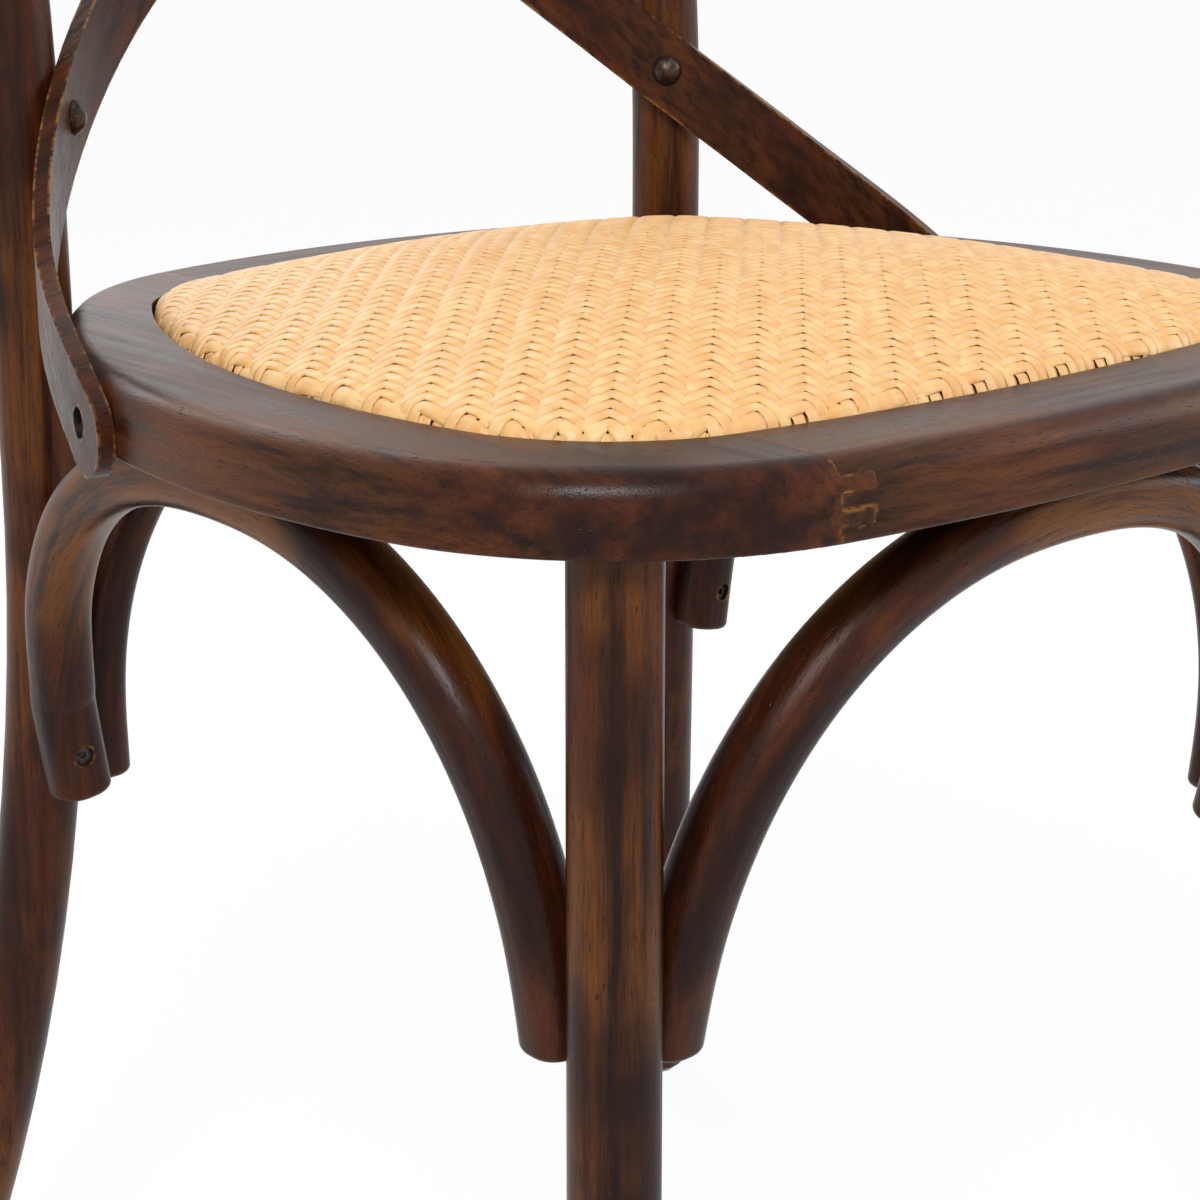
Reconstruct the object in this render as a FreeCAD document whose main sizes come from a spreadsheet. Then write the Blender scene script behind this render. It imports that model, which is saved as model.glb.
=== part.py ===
import FreeCAD, Part
import math
import os

# Cross back chair: a bent hoop carries the back and the rear legs, a jointed wooden
# ring carries a woven seat, and four bent braces tie the legs to the ring.
# Millimetres. X is the sitter's width, the front is at -Y, the floor is z = 0.
# The origin is on the floor, in the middle of the chair's width and depth.

Vec = FreeCAD.Vector
doc = FreeCAD.newDocument("cross_back_chair")
sheet = doc.addObject("Spreadsheet::Sheet", "sizes")

SIZES = [
    ("overall_depth", 467, "front of the ring to the back of the rear feet"),
    ("back_height", 885, "floor to the top of the hoop"),
    ("seat_height", 463, "floor to the top of the ring"),
    ("ring_width", 459, "ring across the chair"),
    ("ring_depth", 427, "ring front to back"),
    ("ring_thickness", 25, "ring top to underside"),
    ("ring_band", 42, "width of the visible band"),
    ("opening_width", 379, "width of the ring's opening at its widest"),
    ("opening_side_radius", 322, "curve of the opening's sides"),
    ("opening_front_corner", 72, "front corners of the opening"),
    ("opening_rear_corner", 50, "rear corners of the opening"),
    ("ring_round", 10, "round along the top outer edge"),
    ("ring_arris", 1.5, "round along the other ring edges"),
    ("front_radius", 906, "plan radius of the front rail"),
    ("side_radius", 316, "plan radius of the side rails"),
    ("rear_radius", 377, "plan radius of the rear rail"),
    ("front_corner", 117, "plan radius of the front corners"),
    ("rear_corner", 114, "plan radius of the rear corners"),
    ("widest_at", 172, "widest place, measured from the front"),
    ("ledge_width", 8, "ledge that the seat panel lies on"),
    ("ledge_height", 10, "height of that ledge"),
    ("joint_front", 119, "finger joint of the front rail, from the middle"),
    ("joint_rear", 90, "finger joint of the rear rail, from the middle"),
    ("finger_length", 12, "length of the joint fingers"),
    ("finger_count", 5, "layers in a finger joint"),
    ("leg_spacing", 337.6, "between the front leg axes"),
    ("leg_setback", 55, "front leg axis behind the ring front"),
    ("leg_top_dia", 28.6, "front leg under the ring"),
    ("leg_foot_dia", 29.8, "front leg at the foot"),
    ("tenon_dia", 18, "tenon on the front leg"),
    ("tenon_length", 15, "tenon length"),
    ("hoop_dia", 30, "bent rod of the back and rear legs"),
    ("hoop_spacing", 323.8, "between the rear posts at the seat"),
    ("hoop_setback", 393, "rear post axis behind the ring front"),
    ("foot_spread", 51.7, "rear foot outside its post"),
    ("leg_bend_from", 400, "height where the rear leg begins to bend"),
    ("lean_from", 490, "height where the back begins to lean"),
    ("lean_angle", 7.4, "lean of the upper back, in degrees"),
    ("lean_radius", 1000, "radius of that bend"),
    ("hoop_corner", 100, "corner radius of the hoop"),
    ("hoop_crown", 300, "radius of the hoop's top"),
    ("brace_size", 23.6, "brace across its flats"),
    ("brace_corner", 10.5, "rounded corner of the brace section"),
    ("brace_end_height", 272, "floor to the brace ends"),
    ("brace_rear_drop", 7, "how much lower the rear brace ends"),
    ("brace_spring", 282, "height where the brace arches begin"),
    ("brace_fullness", 2.3, "shape of the arches: 2 is an ellipse, more is squarer"),
    ("brace_out", 20.5, "how far the side brace leans out to its apex"),
    ("brace_bite", 0.7, "how deep a brace is scribed to its leg"),
    ("brace_end_round", 3, "round on the brace ends"),
    ("strap_width", 30, "width of the bent back straps"),
    ("strap_thickness", 6, "their thickness"),
    ("strap_post_height", 528.6, "strap centre line at the post"),
    ("strap_cross_height", 655, "where the straps cross"),
    ("strap_top_height", 782, "strap centre line at its upper end"),
    ("strap_turn_height", 483.7, "strap centre line above the ring's rear corner"),
    ("strap_turn_run", 62, "that place, measured along the strap from the post"),
    ("left_bolt_run", 68, "left seat bolt, from where the strap meets the ring"),
    ("right_bolt_run", 31, "right seat bolt, from where the strap meets the ring"),
    ("strap_bolt_height", 450.4, "strap centre line at the seat bolts"),
    ("strap_tail_slope", 0.85, "fall per run of the strap below its seat bolt"),
    ("strap_tail", 16, "strap beyond the seat bolt"),
    ("strap_head", 16, "strap beyond the upper rivet"),
    ("rivet_head_dia", 13, "domed heads on the back"),
    ("rivet_head_height", 4, "height of the domes"),
    ("rivet_dia", 5, "shanks of the domed nails and the rivet"),
    ("nail_depth", 20, "how deep the domed nails go into the posts"),
    ("cup_dia", 13, "recessed cup of the seat bolt"),
    ("bolt_dia", 6, "bolts"),
    ("screw_dia", 4, "screws"),
    ("screw_head_dia", 7.6, "screw heads"),
    ("screw_length", 30, "brace screws"),
    ("screw_recess", 2, "depth of a screw head below the wood"),
    ("panel_thickness", 9, "plywood panel in the seat"),
    ("cover_thickness", 2.5, "woven cover"),
    ("seat_crown", 24, "rise of the seat above the ring"),
    ("glide_dia", 22, "foot glides"),
    ("glide_thickness", 4, "foot glides"),
    ("pin_dia", 5, "glide pins"),
    ("pin_length", 14, "glide pins in the wood"),
    ("slip", 0.1, "clearance round turned fits"),
    ("soft_gap", 0.3, "clearance round foam and weave"),
]
for row, (alias, value, note) in enumerate(SIZES, start=1):
    sheet.set("A%d" % row, alias)
    sheet.set("B%d" % row, str(value))
    sheet.set("C%d" % row, note)
    sheet.setAlias("B%d" % row, alias)
doc.recompute()
V = {alias: float(sheet.get(alias)) for alias, value, note in SIZES}

NODES = []


def node(obj, label):
    """Marks an object as one of the chair's pieces, under the name of its file."""
    obj.Label = label
    NODES.append(obj)
    return obj


def feature(label, shape):
    """A piece whose shape is worked out here from the sheet's values."""
    obj = doc.addObject("Part::Feature", "shape_" + label)
    obj.Shape = shape
    return node(obj, label)


# Places that several pieces share
FRONT = -V["overall_depth"] / 2
UNDER = V["seat_height"] - V["ring_thickness"]
HALF = V["ring_width"] / 2
LEG = Vec(V["leg_spacing"] / 2, FRONT + V["leg_setback"], 0)
POST = Vec(V["hoop_spacing"] / 2, FRONT + V["hoop_setback"], 0)
HOOP_R = V["hoop_dia"] / 2
LEAN = math.radians(V["lean_angle"])


def polar(angle, length):
    return Vec(math.cos(angle) * length, math.sin(angle) * length, 0)


def mirrored(point):
    return Vec(-point.x, point.y, point.z)


def circle_meet(a, ra, b, rb):
    """Where two circles cross, the crossing to the right of the way from a to b."""
    way = b - a
    d = way.Length
    along = (ra * ra - rb * rb + d * d) / (2 * d)
    off = math.sqrt(ra * ra - along * along)
    way.normalize()
    return a + way * along + Vec(way.y, -way.x, 0) * off


# Seat ring outline: eight tangent arcs
SIDE_MID = Vec(HALF - V["side_radius"], FRONT + V["widest_at"], 0)
FRONT_MID = Vec(0, FRONT + V["front_radius"], 0)
REAR_MID = Vec(0, FRONT + V["ring_depth"] - V["rear_radius"], 0)
FRONT_CORNER = circle_meet(SIDE_MID, V["side_radius"] - V["front_corner"],
                           FRONT_MID, V["front_radius"] - V["front_corner"])
REAR_CORNER = circle_meet(REAR_MID, V["rear_radius"] - V["rear_corner"],
                          SIDE_MID, V["side_radius"] - V["rear_corner"])
if REAR_CORNER.x < 0:
    REAR_CORNER = circle_meet(SIDE_MID, V["side_radius"] - V["rear_corner"],
                              REAR_MID, V["rear_radius"] - V["rear_corner"])
if FRONT_CORNER.x < 0 or FRONT_CORNER.y > 0:
    FRONT_CORNER = circle_meet(FRONT_MID, V["front_radius"] - V["front_corner"],
                               SIDE_MID, V["side_radius"] - V["front_corner"])


def away(centre, through, length):
    """The point at a length from a centre, on the line through another point."""
    way = through - centre
    way.normalize()
    return centre + way * length


def arc_about(centre, start, end):
    """The shorter arc about a centre from start to end."""
    middle = away(centre, (start + end) * 0.5, (start - centre).Length)
    return Part.Arc(start, middle, end).toShape()


class Shape:
    """Four arcs and the corners that join them: centres on the right, and radii."""

    def __init__(self, side_mid, side, front, rear, front_corner, rear_corner):
        self.side_mid = side_mid
        self.side, self.front, self.rear = side, front, rear
        self.front_corner = self.corner(FRONT_MID, front, front_corner)
        self.rear_corner = self.corner(REAR_MID, rear, rear_corner)

    def corner(self, mid, radius, small):
        """Centre of a corner arc between the side and the front or rear arc."""
        first = circle_meet(self.side_mid, self.side - small, mid, radius - small)
        second = circle_meet(mid, radius - small, self.side_mid, self.side - small)
        return first if first.x > second.x else second


OUTER = Shape(SIDE_MID, V["side_radius"], V["front_radius"], V["rear_radius"],
              V["front_corner"], V["rear_corner"])
OPENING = Shape(Vec(V["opening_width"] / 2 - V["opening_side_radius"], SIDE_MID.y, 0),
                V["opening_side_radius"], V["front_radius"] - V["ring_band"],
                V["rear_radius"] - V["ring_band"],
                V["opening_front_corner"], V["opening_rear_corner"])


def outline(inset, z, scale=1.0):
    """The ring's plan outline, moved in by an inset. From the band's width on, its opening."""
    shape, off = OUTER, inset
    if inset >= V["ring_band"]:
        shape, off = OPENING, inset - V["ring_band"]
    front = away(FRONT_MID, shape.front_corner, shape.front - off)
    side_front = away(shape.side_mid, shape.front_corner, shape.side - off)
    side_rear = away(shape.side_mid, shape.rear_corner, shape.side - off)
    rear = away(REAR_MID, shape.rear_corner, shape.rear - off)
    edges = [
        arc_about(FRONT_MID, mirrored(front), front),
        arc_about(shape.front_corner, front, side_front),
        arc_about(shape.side_mid, side_front, side_rear),
        arc_about(shape.rear_corner, side_rear, rear),
        arc_about(REAR_MID, rear, mirrored(rear)),
        arc_about(mirrored(shape.rear_corner), mirrored(rear), mirrored(side_rear)),
        arc_about(mirrored(shape.side_mid), mirrored(side_rear), mirrored(side_front)),
        arc_about(mirrored(shape.front_corner), mirrored(side_front), mirrored(front)),
    ]
    wire = Part.Wire(edges)
    if scale != 1.0:
        middle = Vec(0, FRONT + V["ring_depth"] / 2, 0)
        matrix = FreeCAD.Matrix()
        matrix.move(middle * -1)
        matrix.scale(scale, scale, 1)
        matrix.move(middle)
        wire = wire.transformGeometry(matrix)
    wire.translate(Vec(0, 0, z))
    return wire


def slab(inset, bottom, top):
    """A solid of the outline between two heights."""
    return Part.Face(outline(inset, bottom)).extrude(Vec(0, 0, top - bottom))


def rod(start, way, length, radius):
    return Part.makeCylinder(radius, length, start, way)


def edges_at(shape, z, inset):
    """Edges at a height that follow the outline at an inset."""
    found = []
    line = outline(inset, z)
    for edge in shape.Edges:
        spot = edge.valueAt((edge.FirstParameter + edge.LastParameter) / 2)
        if abs(spot.z - z) < 0.01 and line.distToShape(Part.Vertex(spot))[0] < 0.01:
            found.append(edge)
    return found


# Hoop bolts: they run from the post into the ring, towards the middle of its rear corner
BOLT_Z = V["seat_height"] - V["ring_thickness"] / 2
BOLT_WAY = REAR_CORNER - POST
BOLT_WAY.normalize()
BOLT_START = POST + Vec(0, 0, BOLT_Z) - BOLT_WAY * HOOP_R
BOLT_LENGTH = V["hoop_dia"] + V["ring_band"] * 0.55
NUT_DIA = 10
NUT_AT = BOLT_START + BOLT_WAY * (BOLT_LENGTH - 4)


SIDE_REACH = V["side_radius"] + V["strap_thickness"] / 2 + 0.2


# Back straps: each follows one circle in plan, past the inside of the post, and then
# lies against the side rail
def strap_circle():
    """The middle and radius of the plan circle that touches the post and the side rail."""
    low, high = -150.0, 0.0
    for step in range(60):
        mid_y = (low + high) / 2
        radius = (POST - Vec(0, mid_y, 0)).Length - HOOP_R - V["strap_thickness"] / 2
        reach = (Vec(0, mid_y, 0) - SIDE_MID).Length
        if reach + radius > SIDE_REACH:
            low = mid_y
        else:
            high = mid_y
    return Vec(0, low, 0), radius


STRAP_MID, STRAP_RADIUS = strap_circle()
SIDE_TOUCH = STRAP_MID - SIDE_MID
TOUCH_ANGLE = math.atan2(SIDE_TOUCH.y, SIDE_TOUCH.x)
POST_ANGLE = math.atan2(POST.y - STRAP_MID.y, POST.x)


def top_post(height):
    """The hoop's axis on its leaning stretch, at a height."""
    bend_top = V["lean_from"] + V["lean_radius"] * math.sin(LEAN)
    back = V["lean_radius"] * (1 - math.cos(LEAN)) + (height - bend_top) * math.tan(LEAN)
    return Vec(POST.x, POST.y + back, height)


STRAP_BACK = STRAP_MID.y + STRAP_RADIUS
TOP_AT = top_post(V["strap_top_height"])
TOP_GAP = HOOP_R + V["strap_thickness"] / 2


def top_circle():
    """Radius of the upper stretch's plan circle: it touches the hoop from the front."""
    low, high = 120.0, 2000.0
    for step in range(60):
        radius = (low + high) / 2
        middle = Vec(0, STRAP_BACK - radius, 0)
        reach = math.hypot(TOP_AT.x, TOP_AT.y - middle.y) - TOP_GAP
        if reach > radius:
            low = radius
        else:
            high = radius
    return low


TOP_RADIUS = top_circle()
TOP_MID = Vec(0, STRAP_BACK - TOP_RADIUS, 0)
TOP_TURN = math.atan2(TOP_AT.x, TOP_AT.y - TOP_MID.y)

# Lengths along the straps' plan line, from the crossing
POST_RUN = STRAP_RADIUS * (math.pi / 2 - POST_ANGLE)
TOUCH_RUN = STRAP_RADIUS * (math.pi / 2 - TOUCH_ANGLE)
TURN_RUN = POST_RUN + V["strap_turn_run"]
TOP_RUN = TOP_RADIUS * TOP_TURN
HEAD_RUN = TOP_RUN + V["strap_head"]


class Strap:
    """A strap that lands on the right. The left one is drawn the same way and mirrored."""

    def __init__(self, bolt_run, lift):
        self.lift = lift
        self.bolt_run = TOUCH_RUN + bolt_run
        self.tail_run = self.bolt_run + V["strap_tail"]
        self.bolt, self.bolt_out = self.place(self.bolt_run)
        self.post, self.post_out = self.place(POST_RUN)
        self.top, self.top_out = self.place(-TOP_RUN)

    def height(self, run):
        """Straight slopes from stop to stop, with a soft turn at each."""
        stops = [(-TOP_RUN, V["strap_top_height"]), (0, V["strap_cross_height"]),
                 (POST_RUN, V["strap_post_height"]), (TURN_RUN, V["strap_turn_height"]),
                 (self.bolt_run, V["strap_bolt_height"])]
        slopes = [(b[1] - a[1]) / (b[0] - a[0]) for a, b in zip(stops, stops[1:])]
        slopes.append(-V["strap_tail_slope"])
        level = stops[0][1] + slopes[0] * (run - stops[0][0])
        soft = 14.0
        for (place, known), before, after in zip(stops[1:], slopes, slopes[1:]):
            past = run - place
            level += (after - before) * (math.sqrt(past * past + soft * soft) + past) / 2
        return level

    def place(self, run):
        """Centre point and outward direction of the strap at a run from the crossing."""
        if run < 0:
            turn = run / TOP_RADIUS
            way = Vec(math.sin(turn), math.cos(turn), 0)
            spot = TOP_MID + way * TOP_RADIUS
        elif run < TOUCH_RUN:
            turn = run / STRAP_RADIUS
            way = Vec(math.sin(turn), math.cos(turn), 0)
            spot = STRAP_MID + way * STRAP_RADIUS
        else:
            way = polar(TOUCH_ANGLE - (run - TOUCH_RUN) / SIDE_REACH, 1)
            spot = SIDE_MID + way * SIDE_REACH
        spot = spot + way * (self.lift * math.exp(-(run / 85.0) ** 4))
        return Vec(spot.x, spot.y, self.height(run)), way

    def along(self, run):
        ahead = self.place(run + 0.5)[0] - self.place(run - 0.5)[0]
        ahead.normalize()
        return ahead

    def section(self, run, slip):
        """A rectangle across the strap, square to its centre line."""
        spot, out = self.place(run)
        across = self.along(run).cross(out)
        across.normalize()
        wide = V["strap_width"] / 2 + slip
        thick = V["strap_thickness"] / 2 + slip
        corners = [spot + across * (wide * u) + out * (thick * v)
                   for u, v in ((-1, -1), (1, -1), (1, 1), (-1, 1), (-1, -1))]
        return Part.makePolygon(corners)

    def blank(self, slip=0.0):
        """One smooth strip with square ends."""
        count = 64
        step = (self.tail_run + HEAD_RUN) / count
        sections = [self.section(-HEAD_RUN + step * i, slip) for i in range(count + 1)]
        return Part.makeLoft(sections, True, False)

    def end_cutter(self, run, outward):
        """A block that leaves a rounded tongue at the strap's end."""
        spot, out = self.place(run)
        ahead = self.along(run) * outward
        centre = spot - ahead * (V["strap_width"] / 2)
        across = out.cross(ahead)
        turn = FreeCAD.Matrix(ahead.x, across.x, out.x, centre.x,
                              ahead.y, across.y, out.y, centre.y,
                              ahead.z, across.z, out.z, centre.z, 0, 0, 0, 1)
        block = Part.makeBox(60, 80, 40, Vec(0, -40, -20)).transformGeometry(turn)
        disc = Part.makeCylinder(V["strap_width"] / 2, 60, centre - out * 30, out)
        return block.cut(disc)

    def solid(self):
        shape = self.blank()
        shape = shape.cut(self.end_cutter(self.tail_run, 1))
        shape = shape.cut(self.end_cutter(-HEAD_RUN, -1))
        nail = V["rivet_dia"] / 2 + V["slip"]
        holes = [rod(self.bolt - self.bolt_out * 10, self.bolt_out, 20,
                     V["cup_dia"] / 2 + V["slip"]),
                 rod(self.post - self.post_out * 10, self.post_out, 20, nail),
                 rod(self.top - self.top_out * 10, self.top_out, 20, nail),
                 rod(Vec(0, STRAP_BACK - 15, CROSS_Z), Vec(0, 1, 0), 30, nail)]
        for hole in holes:
            shape = shape.cut(hole)
        return shape


CROSS_LIFT = V["strap_thickness"] / 2 + 0.15
RIGHT_STRAP = Strap(V["right_bolt_run"], CROSS_LIFT)
LEFT_STRAP = Strap(V["left_bolt_run"], -CROSS_LIFT)
CROSS_Z = (RIGHT_STRAP.height(0) + LEFT_STRAP.height(0)) / 2


def strap_beds():
    """Both straps, a little swollen, for cutting the flats that they lie on."""
    other = LEFT_STRAP.blank(V["slip"]).mirror(Vec(0, 0, 0), Vec(1, 0, 0))
    return [RIGHT_STRAP.blank(V["slip"]), other]


def flip(shape):
    """The shape's mirror image across the chair's middle plane."""
    return shape.mirror(Vec(0, 0, 0), Vec(1, 0, 0))


def nail_bores(strap):
    """The blind holes in the hoop for a strap's two nails."""
    deep = 10 + V["strap_thickness"] / 2 + V["nail_depth"] + 1
    radius = V["rivet_dia"] / 2 + V["slip"]
    return [rod(spot - out * 10, out, deep, radius)
            for spot, out in ((strap.post, strap.post_out), (strap.top, strap.top_out))]


def both_sides(shape):
    """The shape and its mirror image."""
    return [shape, flip(shape)]


# Back hoop: lines and tangent arcs from foot to foot
FOOT_R = HOOP_R


def rear_leg_arc(back):
    """Radius of the rear leg's bend for a given sweep to the back."""
    sweep = math.hypot(V["foot_spread"], back)
    return (V["leg_bend_from"] ** 2 + sweep ** 2) / (2 * sweep)


def foot_reach(back):
    """How far the rear foot reaches back, with the slant of the rod."""
    radius = rear_leg_arc(back)
    drop = V["leg_bend_from"] - V["glide_thickness"]
    lean = math.asin(drop / radius)
    sweep = math.hypot(V["foot_spread"], back)
    length = radius * (1 - math.cos(lean))
    along = HOOP_R / math.cos(lean)
    uy = back / sweep
    ux = V["foot_spread"] / sweep
    return length * uy + math.hypot(along * uy, HOOP_R * ux)


def foot_back():
    """Sweep of the rear foot to the back that gives the overall depth."""
    room = V["overall_depth"] / 2 - POST.y
    low, high = 5.0, 300.0
    for step in range(60):
        back = (low + high) / 2
        if foot_reach(back) < room:
            low = back
        else:
            high = back
    return low


FOOT_BACK = foot_back()
LEG_SWEEP = math.hypot(V["foot_spread"], FOOT_BACK)
LEG_WAY = Vec(V["foot_spread"] / LEG_SWEEP, FOOT_BACK / LEG_SWEEP, 0)
LEG_BEND = rear_leg_arc(FOOT_BACK)


def rear_leg_at(z):
    """The rear leg's axis at a height below the seat, and its direction upwards."""
    if z >= V["leg_bend_from"]:
        return POST + Vec(0, 0, z), Vec(0, 0, 1)
    lean = math.asin((V["leg_bend_from"] - z) / LEG_BEND)
    spot = POST + LEG_WAY * (LEG_BEND * (1 - math.cos(lean))) + Vec(0, 0, z)
    way = Vec(0, 0, math.cos(lean)) - LEG_WAY * math.sin(lean)
    return spot, way


def hoop_half_path():
    """Edges of the right half of the hoop, from the foot to the middle of the top."""
    low = -12.0
    bend = V["leg_bend_from"]
    foot = rear_leg_at(low)[0]
    middle = rear_leg_at((bend + low) / 2)[0]
    start = POST + Vec(0, 0, bend)
    lean_low = POST + Vec(0, 0, V["lean_from"])
    r = V["lean_radius"]
    lean_mid = lean_low + Vec(0, r * (1 - math.cos(LEAN / 2)), r * math.sin(LEAN / 2))
    lean_high = lean_low + Vec(0, r * (1 - math.cos(LEAN)), r * math.sin(LEAN))
    up = Vec(0, math.sin(LEAN), math.cos(LEAN))
    half, corner, crown = POST.x, V["hoop_corner"], V["hoop_crown"]
    rise = crown - math.sqrt((crown - corner) ** 2 - (half - corner) ** 2)
    top_z = V["back_height"] - HOOP_R
    run = (top_z - lean_high.z) / math.cos(LEAN) - rise
    spring = lean_high + up * run
    apex = Vec(0, spring.y, spring.z) + up * rise
    crown_mid = apex - up * crown
    corner_mid = spring - Vec(corner, 0, 0)
    to_corner = corner_mid - crown_mid
    to_corner.normalize()
    shoulder = corner_mid + to_corner * corner
    turn = math.acos(max(-1, min(1, to_corner.x)))
    corner_middle = corner_mid + (Vec(1, 0, 0) * math.cos(turn / 2)
                                  + up * math.sin(turn / 2)) * corner
    left = mirrored(shoulder)
    edges = [Part.Arc(foot, middle, start).toShape(),
             Part.LineSegment(start, lean_low).toShape(),
             Part.Arc(lean_low, lean_mid, lean_high).toShape(),
             Part.LineSegment(lean_high, spring).toShape(),
             Part.Arc(spring, corner_middle, shoulder).toShape()]
    top = Part.Arc(shoulder, apex, left).toShape()
    return edges, top


def hoop_shape():
    edges, top = hoop_half_path()
    left = [edge.mirror(Vec(0, 0, 0), Vec(1, 0, 0)) for edge in reversed(edges)]
    path = Part.Wire(Part.__sortEdges__(edges + [top] + left))
    start, way = rear_leg_at(-12.0)
    ends = [path.OrderedVertexes[0].Point, path.OrderedVertexes[-1].Point]
    if ends[0].x < 0:
        start, way = mirrored(start), Vec(-way.x, way.y, way.z)
    ring = Part.Wire(Part.Circle(start, way, HOOP_R).toShape())
    hoop = path.makePipeShell([ring], True, False)
    floor = Part.makeBox(2000, 2000, 100, Vec(-1000, -1000, V["glide_thickness"] - 100))
    hoop = hoop.cut(floor)
    for side in both_sides(rod(BOLT_START - BOLT_WAY * 10, BOLT_WAY, 60,
                               V["bolt_dia"] / 2 + V["slip"])):
        hoop = hoop.cut(side)
    bores = nail_bores(RIGHT_STRAP) + [flip(bore) for bore in nail_bores(LEFT_STRAP)]
    for bore in bores:
        hoop = hoop.cut(bore)
    for place in REAR_PINS:
        hole = rod(place - Vec(0, 0, 1), Vec(0, 0, 1), V["pin_length"] + 2,
                   V["pin_dia"] / 2 + V["slip"])
        hoop = hoop.cut(hole)
    return hoop


def foot_spots():
    spot = rear_leg_at(V["glide_thickness"])[0]
    rear = Vec(spot.x, spot.y, V["glide_thickness"])
    front = Vec(LEG.x, LEG.y, V["glide_thickness"])
    return rear, front


REAR_FOOT, FRONT_FOOT = foot_spots()
REAR_PINS = [REAR_FOOT, mirrored(REAR_FOOT)]


# Seat ring: one blank, cut into four rails by finger joints
def bolt_bore(strap):
    """The hole in the ring for a strap's seat bolt."""
    return rod(strap.bolt - strap.bolt_out * 34, strap.bolt_out, 40,
               V["bolt_dia"] / 2 + V["slip"])


def ring_blank():
    ring = slab(0, UNDER, V["seat_height"])
    top_edges = edges_at(ring, V["seat_height"], 0)
    ring = ring.makeFillet(V["ring_round"], top_edges)
    ring = ring.makeFillet(V["ring_arris"], edges_at(ring, UNDER, 0))
    ledge_top = UNDER + V["ledge_height"]
    ring = ring.cut(slab(V["ring_band"], ledge_top, V["seat_height"] + 5))
    ring = ring.cut(slab(V["ring_band"] + V["ledge_width"], UNDER - 5, ledge_top + 1))
    notch = rod(POST + Vec(0, 0, UNDER - 5), Vec(0, 0, 1), V["ring_thickness"] + 10,
                HOOP_R + V["slip"])
    socket = rod(LEG + Vec(0, 0, UNDER - 5), Vec(0, 0, 1),
                 V["tenon_length"] + 5.5, V["tenon_dia"] / 2 + V["slip"])
    bolt = rod(BOLT_START, BOLT_WAY, BOLT_LENGTH + 1, V["bolt_dia"] / 2 + V["slip"])
    nut = rod(Vec(NUT_AT.x, NUT_AT.y, UNDER - 5), Vec(0, 0, 1), 5 + V["ring_thickness"] - 5,
              NUT_DIA / 2 + V["slip"])
    tools = [bolt_bore(RIGHT_STRAP), flip(bolt_bore(LEFT_STRAP))]
    for shape in (notch, socket, bolt, nut):
        tools += both_sides(shape)
    tools += brace_seat_holes() + panel_holes()
    for tool in tools:
        ring = ring.cut(tool)
    return ring


def comb(joint_at, low_y, high_y):
    """Stacked boxes whose ends step in and out by a finger, layer by layer."""
    count = int(V["finger_count"])
    layer = V["ring_thickness"] / count
    boxes = []
    for i in range(count):
        step = V["finger_length"] / 2 if i % 2 == 0 else -V["finger_length"] / 2
        half = joint_at + step
        extra = 5 if i in (0, count - 1) else 0
        bottom = UNDER + layer * i - (extra if i == 0 else 0)
        boxes.append(Part.makeBox(2 * half, high_y - low_y, layer + extra,
                                  Vec(-half, low_y, bottom)))
    return boxes[0].fuse(boxes[1:])


def ring_rails():
    ring = ring_blank()
    middle = FRONT + V["ring_depth"] / 2
    front_tool = comb(V["joint_front"], FRONT - 50, middle)
    rear_tool = comb(V["joint_rear"], middle, FRONT + V["ring_depth"] + 50)
    front = ring.common(front_tool)
    rear = ring.common(rear_tool)
    rest = ring.cut(front_tool).cut(rear_tool)
    feature("seat_ring_front", front)
    feature("seat_ring_rear", rear)
    for solid in rest.Solids:
        side = "right" if solid.CenterOfMass.x > 0 else "left"
        feature("seat_ring_" + side, solid)


# Braces: straight arms and a full arch, in a leaning plane
APEX_Z = UNDER - V["brace_size"] / 2


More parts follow.
